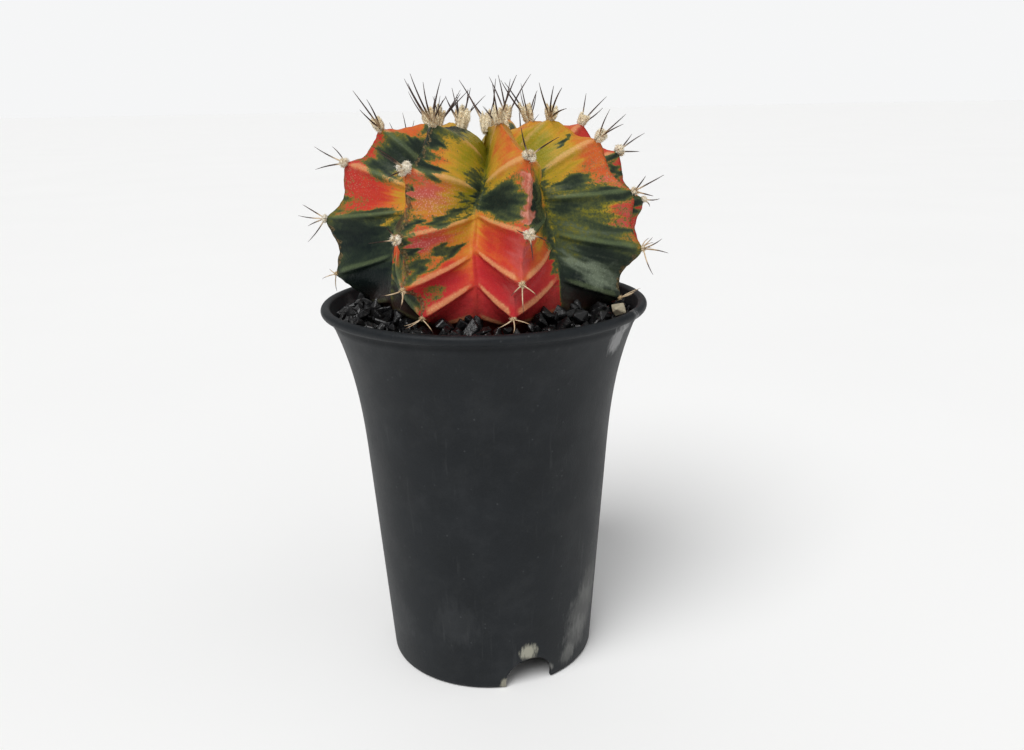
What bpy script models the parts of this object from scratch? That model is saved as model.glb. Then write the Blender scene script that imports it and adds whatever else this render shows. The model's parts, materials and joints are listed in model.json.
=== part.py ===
"""Potted moon cactus: a ribbed, variegated globe cactus with its spine clusters, standing in
potting mix under a top dressing of crushed stone, in a tall flared nursery pot.

Metres, +Z up.  The origin is the centre of the pot's foot, on the surface that it stands on.
The front looks along -Y, and azimuths are counted in degrees from the front towards +X.
"""
import math
import random

import bmesh
import bpy
from mathutils import Matrix, Vector
from mathutils.bvhtree import BVHTree

MM = 0.001
GAP = 0.3 * MM                      # clearance left between pieces that touch

# ---------------------------------------------------------------- driving dimensions: the pot
RIM_RADIUS = 37.5 * MM
POT_HEIGHT = 88.0 * MM
FOOT_RADIUS = 24.9 * MM
WALL = 1.2 * MM
TAPER = 0.073                       # growth of the radius per unit of height
FLARE_START = 50.0 * MM             # height where the wall begins to trumpet outwards
FLARE_REACH = 5.4 * MM              # how far the trumpet adds to the taper at the rim
FLARE_POWER = 2.8
BEAD_RADIUS = 1.1 * MM              # half-round lip around the rim
FLOOR_UNDERSIDE = 8.2 * MM          # the floor sits above the foot skirt's notches
NOTCH_RADIUS = 5.8 * MM
NOTCH_CENTRE_HEIGHT = 1.2 * MM
NOTCH_AZIMUTHS = (18.7, 138.7, 258.7)
DRAIN_HOLE_RADIUS = 3.5 * MM
DRAIN_HOLE_PITCH = 14.0 * MM
POT_SIDES = 48
WALL_HEIGHTS = tuple(z * MM for z in (0, 16, 33, 50, 60, 68, 75.5, 80, 83.8))

# ---------------------------------------------------------------- driving dimensions: the fill
MIX_TOP = 75.5 * MM
BED_TOP = 85.4 * MM                 # height of the crushed stone at the pot's wall
HEAP_TOP = 88.4 * MM                # and where it is heaped against the stem
HEAP_RADIUS = 24.5 * MM
HEAP_STEPS = 5
STEM_CLEARANCE = 0.4                # mm, kept around the stem where the stone meets it
ROOT_CLEARANCE = 0.6 * MM           # kept around the root where it stands in the mix
PIT_HEIGHTS = tuple(z * MM for z in (75.5, 70, 64, 58, 53))
CUTTER_EXCESS = 5.0 * MM            # how far a cutter runs out past the face that it opens
BED_ROUGHNESS = 0.7 * MM
BED_SIDES = 40
STONE_HALF_LENGTHS = (1.8 * MM, 2.4 * MM)
STONE_RING = 30.9 * MM
STONE_DROP = 10.0 * MM              # height above the rim that the stones are let down from
STONE_AZIMUTHS = (-70, -58, -46, -17, -6, 24, 36, 48, 118, 131, 144, 182, 195, 240, 253)
PALE_STONE_AZIMUTH = 63
PALE_STONE_RING = 32.4 * MM
STONE_POINTS = 13
STONE_BREADTH = 0.8                 # of its half length
STONE_THICKNESS = 0.62
STONE_WEAR = 0.85                   # the least share of its half length a corner keeps
STONE_TWIST = 0.4                   # radians that a corner may stray
GOLDEN_ANGLE = math.radians(137.5)

# ---------------------------------------------------------------- driving dimensions: the plant
PLANT_CENTRE = Vector((0.5 * MM, 0.2 * MM, 0.0))
# Growth lines, counted in mm along a rib's crest from the crown's centre.  Each row gives the
# growth length, and the radius and height that the crest (or the furrow) has there.
CREST_LINE = (
    (0, 0, 121.5), (7, 6, 125.4), (14.5, 13, 127.8), (21.5, 20, 127.2), (29.5, 26.5, 123.4),
    (37.5, 31.7, 117), (46, 35.2, 109), (53.5, 36, 102), (60.5, 34.4, 95), (68, 30.5, 88.5),
    (74, 26.5, 84.5), (80, 21, 81), (86, 15, 77), (96, 9, 68), (108, 4.5, 57), (116, 0, 50),
)
FURROW_LINE = (
    (0, 0, 121.5), (10, 5.5, 121), (20, 12, 119), (32.5, 17.5, 114.5), (48, 20.3, 109.3),
    (58, 22.8, 102.6), (66.5, 24.6, 95.8), (74, 24.6, 88.5), (80, 20.6, 82.5), (86, 15, 77),
    (96, 9, 68), (108, 4.5, 57), (116, 0, 50),
)
ROOT_START = 80.0                   # growth length where the ribs begin to run out
NECK_GROWTH = 86.0                  # and where they have run out into the round neck
REACH_FADE = 30.0                   # length over which the ribs' differing reach runs out
GROWTH_END = 116.0
YOUNG_GROWTH = 45.0                 # growth length over which the young pillows turn to wedges
WEDGE_POWER = 1.2                   # 1 makes flat flanks, more makes them hollow
PILLOW_STRENGTH = 1.6
# Each rib's name, how far it reaches against the crest line, and its areoles from the crown
# outwards: growth length, the azimuth of the crest there, and the longest spine in mm.
RIBS = (
    ("left", 1.0, ((11, -84, 8), (24, -84, 11), (35, -86, 9.5), (48, -88, 8.8), (61, -88, 6))),
    ("front_left", 1.0, ((9, -36, 7), (21, -32, 12), (35, -31.3, 10.5), (49, -30.2, 8),
                         (59.5, -29.7, 6), (66.5, -26, 5.5))),
    ("front", 1.0, ((8, 6, 7), (19, 10, 12), (32.5, 17, 10), (48, 12.5, 7.5), (58, 10.2, 6.5),
                    (66.5, 8.5, 5.5))),
    ("right", 1.02, ((6.5, 62, 6), (17.5, 62, 11), (29, 66, 9), (42, 67, 9), (55, 68, 8),
                     (67, 69, 5.5))),
    ("back_right", 1.08, ((12, 110, 9), (24, 107, 10), (34, 101, 9), (46, 99, 4.6), (58, 100, 4.2))),
    ("back", 1.0, ((8, 158, 7), (20, 160, 11), (33, 160, 10), (46, 158, 8.5), (59, 156, 6))),
    ("back_left", 1.0, ((10, 214, 8), (22.5, 216, 11), (34, 217, 10), (47, 216, 8.5),
                        (60, 215, 6))),
)
FURROW_SHIFTS = (0, 2.5, 0, 0, 0, 0, 0)         # degrees, of the furrow after each rib
YOUNG_FURROW_SHIFTS = (0, 36, 0, 0, 0, 0, 0)    # what the youngest growth adds to that
ADULT_GROWTH = 35.0                 # growth length at which the relief has its full depth
CHIN_DEPTH = 2.7                    # mm, hollow of the crest between its areoles
CHIN_LAG = 1.2                      # above 1 the hollow is deepest just above the lower areole
CHIN_FADE = 1.5                     # how quickly it runs out across the flank
PANEL_DEPTH = 0.6                   # mm, hollow of the flanks between the chevron ridges
RIDGE_WIDTH = 1.5                   # mm along the growth length
FLANK_STEPS = (0.0, 0.25, 0.6, 1.0)
SLOPE_STEP = 0.5                    # growth length over which the crest's slope is taken
GROWTH_STEP = 2.0
ROOT_STEP = 6.0

AREOLE_SPAN = 5.0                   # mm of crest on each side that set an areole's direction
AREOLE_REACH = 5.0 * MM             # how far outside the crest the skin is looked for
CUSHION_RADIUS = 1.3 * MM
CUSHION_SINK = 0.6 * MM             # flat underside of the wool below its centre
CUSHION_GAP = 0.45 * MM             # from the crest's tip, so that its shoulders clear too
SPINE_RADIUS = 0.2 * MM
SPINE_TIP_RADIUS = 0.06 * MM
# An areole's spines as (across the rib, up the rib) against SPINE_STAND outwards, and their
# lengths as shares of its longest: three stout upper ones, then the finer lower ones.
UPPER_FAN = ((-0.62, 0.5), (-0.05, 0.75), (0.6, 0.55))
LOWER_FAN = ((-0.95, -0.2), (0.9, -0.25), (0.1, -0.65))
SPINE_STAND = 0.8
UPPER_SHARE = (0.85, 1.0)
LOWER_SHARE = (0.6, 0.75)
SPINE_SCATTER = 0.14
CROWN_GROWTH = 20.0                 # younger areoles than this hold their spines together
LOW_GROWTH = 54.0                   # below this the spines turn up and away from the stone
LOW_SPAN = 12.0
LOW_LIFT = 1.3
LOW_FLATTEN = 0.75                  # share of its own rise that a low spine loses


# ---------------------------------------------------------------- scene helpers
def clear_scene():
    for old in list(bpy.data.objects):
        bpy.data.objects.remove(old, do_unlink=True)


def new_collection(name):
    made = bpy.data.collections.new(name)
    bpy.context.scene.collection.children.link(made)
    return made


def new_material(name, colour, roughness, metallic=0.0):
    material = bpy.data.materials.new(name)
    material.use_nodes = True
    shader = material.node_tree.nodes["Principled BSDF"]
    shader.inputs["Base Color"].default_value = (*colour, 1.0)
    shader.inputs["Roughness"].default_value = roughness
    shader.inputs["Metallic"].default_value = metallic
    return material


def object_from_bmesh(name, bm, collection, material=None):
    mesh = bpy.data.meshes.new(name)
    bm.to_mesh(mesh)
    bm.free()
    made = bpy.data.objects.new(name, mesh)
    collection.objects.link(made)
    if material:
        mesh.materials.append(material)
    return made


def shade_round(made, sharp_degrees=40):
    made.data.shade_smooth()
    made.data.set_sharp_from_angle(angle=math.radians(sharp_degrees))


def turned(name, profile, collection, material, sides=POT_SIDES):
    """A closed solid turned about Z from a list of (radius, height), outer side downwards."""
    bm = bmesh.new()
    points = [bm.verts.new((radius, 0.0, height)) for radius, height in profile]
    for first, second in zip(points, points[1:]):
        bm.edges.new((first, second))
    made = object_from_bmesh(name, bm, collection, material)
    screw = made.modifiers.new("turn", "SCREW")
    screw.steps = sides
    screw.render_steps = sides
    screw.use_merge_vertices = True
    screw.merge_threshold = 0.00001
    screw.use_smooth_shade = True
    return made


def evaluated_mesh(made):
    bpy.context.view_layer.update()
    return bpy.data.meshes.new_from_object(made.evaluated_get(
        bpy.context.evaluated_depsgraph_get()))


def mesh_tree(made):
    """A search tree over an object's faces, for objects that sit unturned at the origin."""
    bm = bmesh.new()
    bm.from_mesh(made.data)
    tree = BVHTree.FromBMesh(bm)
    bm.free()
    return tree


def outward(azimuth):
    """Horizontal unit vector at an azimuth given in degrees."""
    angle = math.radians(azimuth)
    return Vector((math.sin(angle), -math.cos(angle), 0.0))


# ---------------------------------------------------------------- the pot
def pot_radius(height):
    """Outer radius of the pot's wall: a straight taper that trumpets out below the rim."""
    flare = max(0.0, (height - FLARE_START) / (POT_HEIGHT - FLARE_START))
    return FOOT_RADIUS + TAPER * height + FLARE_REACH * flare ** FLARE_POWER


def pot_profile():
    floor_top = FLOOR_UNDERSIDE + WALL
    bead_height = POT_HEIGHT - BEAD_RADIUS
    bead_centre = RIM_RADIUS - BEAD_RADIUS
    inside = [(0.0, floor_top)]
    inside += [(pot_radius(z) - WALL, z) for z in (floor_top,) + WALL_HEIGHTS[1:]]
    bead = []
    for degrees in range(180, -61, -30):
        angle = math.radians(degrees)
        bead.append((bead_centre + BEAD_RADIUS * math.cos(angle),
                     bead_height + BEAD_RADIUS * math.sin(angle)))
    outside = [(pot_radius(z), z) for z in reversed(WALL_HEIGHTS)]
    underside = [(pot_radius(0.0) - WALL, 0.0),
                 (pot_radius(FLOOR_UNDERSIDE) - WALL, FLOOR_UNDERSIDE),
                 (0.0, FLOOR_UNDERSIDE)]
    return inside + bead + outside + underside


def cutter_cylinder(name, radius, length, place, direction, collection):
    bm = bmesh.new()
    bmesh.ops.create_cone(bm, cap_ends=True, segments=24, radius1=radius, radius2=radius,
                          depth=length)
    made = object_from_bmesh(name, bm, collection)
    made.location = place
    made.rotation_mode = "QUATERNION"
    made.rotation_quaternion = direction.to_track_quat("Z", "Y")
    made.hide_render = True
    made.display_type = "WIRE"
    return made


def cut(target, cutter):
    boolean = target.modifiers.new("cut_" + cutter.name, "BOOLEAN")
    boolean.operation = "DIFFERENCE"
    boolean.object = cutter


def make_pot(parts, cutters):
    material = new_material("pot_plastic", (0.022, 0.024, 0.028), 0.55)
    pot = turned("pot", pot_profile(), parts, material)
    for number, azimuth in enumerate(NOTCH_AZIMUTHS, 1):
        side = outward(azimuth)
        notch_place = side * FOOT_RADIUS + Vector((0, 0, NOTCH_CENTRE_HEIGHT))
        cut(pot, cutter_cylinder(f"notch_{number}", NOTCH_RADIUS, 12 * MM, notch_place, side,
                                 cutters))
        hole_place = side * DRAIN_HOLE_PITCH + Vector((0, 0, FLOOR_UNDERSIDE))
        cut(pot, cutter_cylinder(f"drain_hole_{number}", DRAIN_HOLE_RADIUS, 8 * MM, hole_place,
                                 Vector((0, 0, 1)), cutters))
    return pot


# ---------------------------------------------------------------- the plant's stem
def smooth_curve(rows, growth, axis):
    """The value in one column of the rows at a growth length, on a smooth curve through them."""
    last = len(rows) - 1
    growth = min(max(growth, rows[0][0]), rows[last][0])
    span = next(i for i in range(last) if growth <= rows[i + 1][0])
    start, end = rows[span], rows[span + 1]
    before, after = rows[max(span - 1, 0)], rows[min(span + 2, last)]
    width = end[0] - start[0]
    part = (growth - start[0]) / width
    slope_start = (end[axis] - before[axis]) / (end[0] - before[0]) * width
    slope_end = (after[axis] - start[axis]) / (after[0] - start[0]) * width
    return ((2 * part ** 3 - 3 * part ** 2 + 1) * start[axis]
            + (part ** 3 - 2 * part ** 2 + part) * slope_start
            + (3 * part ** 2 - 2 * part ** 3) * end[axis]
            + (part ** 3 - part ** 2) * slope_end)


def rib_azimuth(rib, growth):
    return smooth_curve(rib[2], growth, 1)


def hollow_between_areoles(areoles, growth, across):
    """How far, in mm, the skin lies below the line through the areoles and their ridges."""
    stops = [0.0] + [areole[0] for areole in areoles] + [ROOT_START]
    upper = max(stop for stop in stops[:-1] if stop <= growth)
    lower = min(stop for stop in stops[1:] if stop > growth)
    phase = (growth - upper) / (lower - upper)
    to_ridge = min(growth - upper, lower - growth)
    age = min(1.0, growth / ADULT_GROWTH)
    chin = CHIN_DEPTH * math.sin(math.pi * phase ** CHIN_LAG) * (1.0 - across) ** CHIN_FADE
    panel = PANEL_DEPTH * (1.0 - math.exp(-(to_ridge / RIDGE_WIDTH) ** 2))
    return age * (chin + panel * math.sin(math.pi * across) ** 0.5)


def stem_point(index, side, growth, across, clearance=0.0):
    """A point of the stem: across runs from 0 on a rib's crest to 1 in the furrow beside it."""
    reach, areoles = RIBS[index][1:]
    globe = min(1.0, max(0.0, (NECK_GROWTH - growth) / REACH_FADE))
    reach = 1.0 + (reach - 1.0) * (1.0 - across) * globe
    crest_radius = smooth_curve(CREST_LINE, growth, 1) * reach + clearance
    crest_height = smooth_curve(CREST_LINE, growth, 2)
    furrow_radius = smooth_curve(FURROW_LINE, growth, 1) + clearance
    furrow_height = smooth_curve(FURROW_LINE, growth, 2)
    youth = max(0.0, 1.0 - growth / YOUNG_GROWTH)
    pillow = 1.0 - across ** (1.0 + youth)
    wedge = (1.0 - across) ** WEDGE_POWER
    rise = wedge + (pillow - wedge) * min(1.0, PILLOW_STRENGTH * youth)
    radius = furrow_radius + (crest_radius - furrow_radius) * rise
    height = crest_height + (furrow_height - crest_height) * across ** (1.0 + youth) - clearance
    if growth < ROOT_START:
        further = growth + SLOPE_STEP
        lean = math.atan2(crest_height - smooth_curve(CREST_LINE, further, 2),
                          smooth_curve(CREST_LINE, further, 1) - smooth_curve(CREST_LINE, growth, 1))
        inward = hollow_between_areoles(areoles, growth, across)
        radius -= inward * math.sin(lean)
        height -= inward * math.cos(lean)
    own = rib_azimuth(RIBS[index], growth)
    other = rib_azimuth(RIBS[(index + side) % len(RIBS)], growth)
    half_gap = ((other - own) * side % 360.0) / 2.0
    furrow = index if side > 0 else index - 1
    shift = FURROW_SHIFTS[furrow] + YOUNG_FURROW_SHIFTS[furrow] * youth ** 2
    azimuth = own + (side * half_gap + shift) * across
    return PLANT_CENTRE + outward(azimuth) * (radius * MM) + Vector((0, 0, height * MM))


def growth_rows():
    rows = []
    growth = GROWTH_STEP
    while growth < GROWTH_END - 1.0:
        rows.append(growth)
        growth += GROWTH_STEP if growth < ROOT_START else ROOT_STEP
    return rows


def make_stem(name, collection, material, clearance=0.0):
    """The stem and its root as one loft of star-shaped rings, or a copy with room around it."""
    bm = bmesh.new()
    crown = bm.verts.new(PLANT_CENTRE + Vector((0, 0, CREST_LINE[0][2] * MM)))
    root_height = CREST_LINE[-1][2] - clearance
    root_tip = bm.verts.new(PLANT_CENTRE + Vector((0, 0, root_height * MM)))
    rings = []
    for growth in growth_rows():
        ring = []
        for index in range(len(RIBS)):
            left = [stem_point(index, -1, growth, step, clearance)
                    for step in reversed(FLANK_STEPS[:-1])]
            right = [stem_point(index, 1, growth, step, clearance) for step in FLANK_STEPS[1:]]
            ring += [bm.verts.new(place) for place in left + right]
        rings.append(ring)
    columns = len(rings[0])
    for column in range(columns):
        following = (column + 1) % columns
        bm.faces.new((crown, rings[0][column], rings[0][following]))
        for upper, lower in zip(rings, rings[1:]):
            bm.faces.new((upper[column], lower[column], lower[following], upper[following]))
        bm.faces.new((root_tip, rings[-1][following], rings[-1][column]))
    bmesh.ops.recalc_face_normals(bm, faces=bm.faces)
    bmesh.ops.triangulate(bm, faces=bm.faces)
    stem = object_from_bmesh(name, bm, collection, material)
    shade_round(stem, 60)
    return stem


# ---------------------------------------------------------------- areoles: wool and spines
def spine_fan(rng, growth, longest):
    """Directions (across the rib, up the rib, outwards) and lengths of one areole's spines."""
    fan = [(side, rise, longest * rng.uniform(*UPPER_SHARE)) for side, rise in UPPER_FAN]
    fan += [(side, rise, longest * rng.uniform(*LOWER_SHARE)) for side, rise in LOWER_FAN]
    opened = min(1.0, growth / CROWN_GROWTH)
    low = min(1.0, max(0.0, (growth - LOW_GROWTH) / LOW_SPAN))
    if low:
        fan.pop()
    spines = []
    for side, rise, length in fan:
        sideways = side * opened + rng.uniform(-SPINE_SCATTER, SPINE_SCATTER)
        upwards = rise * opened * (1.0 - LOW_FLATTEN * low) + LOW_LIFT * low
        upwards += rng.uniform(-SPINE_SCATTER, SPINE_SCATTER)
        direction = Vector((sideways, upwards, SPINE_STAND)).normalized()
        spines.append((direction, length * MM))
    return spines


def grow_spine(bm, direction, length):
    """Draw the cushion's free face that looks most along the direction out into a spine."""
    dome = [f for f in bm.faces if not f.tag
            and f.calc_center_median().length < CUSHION_RADIUS]
    face = max(dome, key=lambda f: f.normal.dot(direction))
    turn = direction.to_track_quat("Z", "Y")
    for reach, radius in ((0.5, SPINE_RADIUS), (1.0, SPINE_TIP_RADIUS)):
        face = bmesh.ops.extrude_discrete_faces(bm, faces=[face])["faces"][0]
        first = turn.inverted() @ (face.verts[0].co - face.calc_center_median())
        start = math.atan2(first.y, first.x)
        for number, vert in enumerate(face.verts):
            angle = start + math.tau * number / len(face.verts)
            vert.co = turn @ Vector((radius * math.cos(angle), radius * math.sin(angle),
                                     length * reach))


def make_areole(name, parts, material, fan, frame):
    """A dome of wool with its spines, built upright and then turned into the areole's frame."""
    bm = bmesh.new()
    bmesh.ops.create_icosphere(bm, subdivisions=2, radius=CUSHION_RADIUS)
    bm.normal_update()
    for face in bm.faces:
        face.tag = face.normal.z < 0.1
    for direction, length in fan:
        grow_spine(bm, direction, length)
    for vert in bm.verts:
        vert.co.z = max(vert.co.z, -CUSHION_SINK)
    bmesh.ops.transform(bm, matrix=frame, verts=bm.verts)
    areole = object_from_bmesh(name, bm, parts, material)
    shade_round(areole, 50)
    return areole


def areole_frame(index, growth, stem_tree):
    """Axes across the rib, up the rib and outwards, placed where the wool just clears the skin."""
    above = stem_point(index, 1, growth - AREOLE_SPAN, 0.0)
    below = stem_point(index, 1, growth + AREOLE_SPAN, 0.0)
    up = (above - below).normalized()
    radial = outward(rib_azimuth(RIBS[index], growth))
    across = Vector((0, 0, 1)).cross(radial).normalized()
    out = across.cross(up).normalized()
    up = out.cross(across)
    tip = stem_point(index, 1, growth, 0.0)
    hit = stem_tree.ray_cast(tip + out * AREOLE_REACH, -out)[0]
    frame = Matrix((across, up, out)).transposed().to_4x4()
    frame.translation = hit + out * (CUSHION_SINK + CUSHION_GAP)
    return frame


def make_areoles(parts, stem):
    stem_tree = mesh_tree(stem)
    material = new_material("spine_and_wool", (0.62, 0.52, 0.38), 0.7)
    for index, (rib_name, _, areoles) in enumerate(RIBS):
        for tier, (growth, _, longest) in enumerate(areoles, 1):
            rng = random.Random(f"{rib_name} {tier}")
            make_areole(f"areole_{rib_name}_{tier}", parts, material,
                        spine_fan(rng, growth, longest), areole_frame(index, growth, stem_tree))


# ---------------------------------------------------------------- potting mix and crushed stone
def root_radius(height):
    """Radius of the round neck and root at a height, found along the crest line."""
    growth = ROOT_START
    while smooth_curve(CREST_LINE, growth, 2) * MM > height:
        growth += 0.25
    return smooth_curve(CREST_LINE, growth, 1) * MM


def make_mix(parts, cutters):
    """The fill below the stone, from the floor up, with a pit that the root stands in."""
    floor = FLOOR_UNDERSIDE + WALL + GAP
    heights = [height for height in WALL_HEIGHTS if floor < height < MIX_TOP]
    sides = [(pot_radius(z) - WALL - GAP, z) for z in [MIX_TOP] + heights[::-1] + [floor]]
    mix = turned("potting_mix", [(0.0, MIX_TOP)] + sides + [(0.0, floor)], parts,
                 new_material("potting_mix", (0.035, 0.022, 0.015), 0.95))
    above = MIX_TOP + CUTTER_EXCESS
    root_tip = CREST_LINE[-1][2] * MM - ROOT_CLEARANCE
    pit = [(0.0, above), (root_radius(MIX_TOP) + CUTTER_EXCESS, above)]
    pit += [(root_radius(z) + ROOT_CLEARANCE, z) for z in PIT_HEIGHTS]
    cutter = turned("root_pit", pit + [(0.0, root_tip)], cutters, None)
    cutter.location = PLANT_CENTRE
    cutter.hide_render = True
    cutter.display_type = "WIRE"
    cut(mix, cutter)
    return mix


def make_bed(parts, cutters, rng):
    """The dressing of crushed stone: a disc with a rough top, heaped up around the stem."""
    bottom = MIX_TOP + GAP
    outer_radius = pot_radius(BED_TOP) - WALL - GAP
    profile = [(0.0, HEAP_TOP), (HEAP_RADIUS, HEAP_TOP)]
    for step in range(1, HEAP_STEPS):
        part = step / HEAP_STEPS
        profile.append((HEAP_RADIUS + (outer_radius - HEAP_RADIUS) * part,
                        HEAP_TOP + (BED_TOP - HEAP_TOP) * math.sin(part * math.pi / 2)))
    heights = [height for height in reversed(WALL_HEIGHTS) if bottom < height < BED_TOP]
    profile += [(pot_radius(z) - WALL - GAP, z) for z in [BED_TOP] + heights + [bottom]]
    bed = turned("gravel_bed", profile + [(0.0, bottom)], parts,
                 new_material("crushed_stone", (0.02, 0.02, 0.022), 0.3), BED_SIDES)
    mesh = evaluated_mesh(bed)
    bed.modifiers.clear()
    bed.data = mesh
    for vert in mesh.vertices:
        radius = math.hypot(vert.co.x, vert.co.y)
        if vert.co.z > BED_TOP + 0.1 * MM and radius > HEAP_RADIUS - 0.1 * MM:
            vert.co.z += rng.uniform(-BED_ROUGHNESS, BED_ROUGHNESS)
    cutter = make_stem("stem_hollow", cutters, None, STEM_CLEARANCE)
    cutter.hide_render = True
    cutter.display_type = "WIRE"
    cut(bed, cutter)
    bed.data = evaluated_mesh(bed)
    bed.modifiers.clear()
    return bed


def make_stone(name, parts, material, rng, place, bed_tree, bed_peaks):
    """An angular chip: the hull of a few points on an ellipsoid, lowered onto the bed."""
    half_length = rng.uniform(*STONE_HALF_LENGTHS)
    bm = bmesh.new()
    for number in range(STONE_POINTS):
        height = 1.0 - 2.0 * (number + 0.5) / STONE_POINTS
        angle = number * GOLDEN_ANGLE + rng.uniform(-STONE_TWIST, STONE_TWIST)
        ring = math.sqrt(1.0 - height * height)
        corner = Vector((ring * math.cos(angle), STONE_BREADTH * ring * math.sin(angle),
                         STONE_THICKNESS * height))
        bm.verts.new(corner * half_length * rng.uniform(STONE_WEAR, 1.0))
    bmesh.ops.convex_hull(bm, input=bm.verts)
    bmesh.ops.rotate(bm, verts=bm.verts, matrix=Matrix.Rotation(rng.uniform(0, math.tau), 3, "Z"))
    bmesh.ops.translate(bm, verts=bm.verts, vec=place)
    bm.normal_update()
    stone_tree = BVHTree.FromBMesh(bm)
    down = Vector((0, 0, -1))
    drops = [vert.co.z - bed_tree.ray_cast(vert.co, down)[0].z for vert in bm.verts]
    for peak in bed_peaks:
        hit = stone_tree.ray_cast(peak, -down)[0]
        if hit:
            drops.append(hit.z - peak.z)
    bmesh.ops.translate(bm, verts=bm.verts, vec=down * (min(drops) - GAP))
    bmesh.ops.recalc_face_normals(bm, faces=bm.faces)
    return object_from_bmesh(name, bm, parts, material)


def make_stones(parts, bed, rng):
    bed_tree = mesh_tree(bed)
    bed_peaks = [vert.co.copy() for vert in bed.data.vertices]
    dark = bed.data.materials[0]
    for number, azimuth in enumerate(STONE_AZIMUTHS, 1):
        place = outward(azimuth) * STONE_RING + Vector((0, 0, POT_HEIGHT + STONE_DROP))
        make_stone(f"stone_{number}", parts, dark, rng, place, bed_tree, bed_peaks)
    pale = new_material("pale_stone", (0.5, 0.42, 0.3), 0.7)
    place = outward(PALE_STONE_AZIMUTH) * PALE_STONE_RING + Vector((0, 0, POT_HEIGHT + STONE_DROP))
    make_stone("pale_stone", parts, pale, rng, place, bed_tree, bed_peaks)


def make_part():
    clear_scene()
    parts = new_collection("potted_moon_cactus")
    cutters = new_collection("cutters")
    make_pot(parts, cutters)
    make_mix(parts, cutters)
    rng = random.Random(7)
    bed = make_bed(parts, cutters, rng)
    make_stones(parts, bed, rng)
    stem = make_stem("stem", parts, new_material("skin", (0.55, 0.14, 0.05), 0.45))
    make_areoles(parts, stem)


make_part()
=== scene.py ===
"""The looks of the potted moon cactus: its variegated skin, wool and spines, the crushed stone
and the nursery pot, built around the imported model.  Metres, +Z up, front along -Y.
"""

import json
import math
import random

import bmesh
import bpy
import numpy as np
from mathutils import Matrix, Vector, noise

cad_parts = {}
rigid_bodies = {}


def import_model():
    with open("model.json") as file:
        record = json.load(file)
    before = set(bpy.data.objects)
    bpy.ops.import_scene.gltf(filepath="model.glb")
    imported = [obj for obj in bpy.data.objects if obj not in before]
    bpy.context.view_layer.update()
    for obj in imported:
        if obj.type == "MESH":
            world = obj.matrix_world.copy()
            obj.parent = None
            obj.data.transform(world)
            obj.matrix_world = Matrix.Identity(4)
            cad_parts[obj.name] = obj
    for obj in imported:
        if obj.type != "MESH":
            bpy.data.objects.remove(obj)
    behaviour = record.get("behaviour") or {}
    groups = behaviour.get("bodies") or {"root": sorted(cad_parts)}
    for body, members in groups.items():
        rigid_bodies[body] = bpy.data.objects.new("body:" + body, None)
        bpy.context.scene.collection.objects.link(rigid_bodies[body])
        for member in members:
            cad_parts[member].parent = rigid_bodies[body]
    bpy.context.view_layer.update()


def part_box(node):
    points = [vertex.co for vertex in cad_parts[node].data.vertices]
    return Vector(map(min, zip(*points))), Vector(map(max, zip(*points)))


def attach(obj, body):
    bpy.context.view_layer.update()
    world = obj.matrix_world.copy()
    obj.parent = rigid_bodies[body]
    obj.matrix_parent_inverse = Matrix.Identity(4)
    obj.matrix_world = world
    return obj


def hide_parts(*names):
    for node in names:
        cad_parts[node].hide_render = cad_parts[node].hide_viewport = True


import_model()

MM = 0.001
BODY = "root"

# ---------------------------------------------------------------- sizes of the pot, in mm
RIM_RADIUS = 37.5
POT_HEIGHT = 88.0
FOOT_RADIUS = 24.9
WALL = 1.2
TAPER = 0.073                       # mm of radius gained with each mm of height
FLARE_START = 50.0                  # height above which the wall flares as well
FLARE_REACH = 5.4
FLARE_POWER = 2.8
BEAD_RADIUS = 1.1                   # of the half-round lip around the rim
FLOOR_UNDERSIDE = 8.2
NOTCH_RADIUS = 5.8
NOTCH_CENTRE_HEIGHT = 1.2
NOTCH_AZIMUTHS = (18.7, 138.7, 258.7)       # degrees from the front towards the right
NOTCH_DRILL = 12.0                  # length of the cut through the foot's wall
DRAIN_HOLE_RADIUS = 3.5
DRAIN_HOLE_PITCH = 14.0             # from the pot's axis
DRAIN_DRILL = 8.0
FLOOR_FILLET = 1.2                  # inside, where the floor meets the wall
FLAT_RADIUS = 10.0                  # of a ring of points on both faces of the floor
STEP_HEIGHT = 84.6                  # of the small step under the bead
POT_SIDES = 144
POT_EDGE_ROUNDING = 0.18
CREASE_ANGLE = 50                   # degrees; sharper edges are rounded and shaded sharp

# ---------------------------------------------------------------- the plant, in mm
PLANT_CENTRE = np.array((0.5, 0.2, 0.0))
# Growth lines, counted along a rib's crest from the crown's centre: growth, radius, height.
CREST_LINE = (
    (0, 0, 121.5), (7, 6, 125.4), (14.5, 13, 127.8), (21.5, 20, 127.2), (29.5, 26.5, 123.4),
    (37.5, 31.7, 117), (46, 35.2, 109), (53.5, 36, 102), (60.5, 34.4, 95), (68, 30.5, 88.5),
    (74, 26.5, 84.5), (80, 21, 81), (86, 15, 77), (96, 9, 68), (108, 4.5, 57), (116, 0, 50),
)
FURROW_LINE = (
    (0, 0, 121.5), (10, 5.5, 121), (20, 12, 119), (32.5, 17.5, 114.5), (48, 20.3, 109.3),
    (58, 22.8, 102.6), (66.5, 24.6, 95.8), (74, 24.6, 88.5), (80, 20.6, 82.5), (86, 15, 77),
    (96, 9, 68), (108, 4.5, 57), (116, 0, 50),
)
ROOT_START = 80.0                   # growth length where the relief ends, above the root
NECK_GROWTH = 86.0                  # and where crests and furrows meet in a round neck
REACH_FADE = 30.0                   # length above the neck where a rib's own reach fades in
GROWTH_END = 116.0
YOUNG_GROWTH = 45.0                 # growth length where young pillows have become wedges
WEDGE_POWER = 1.2                   # 1 makes straight flanks, more makes them hollow
PILLOW_STRENGTH = 1.6
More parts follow.
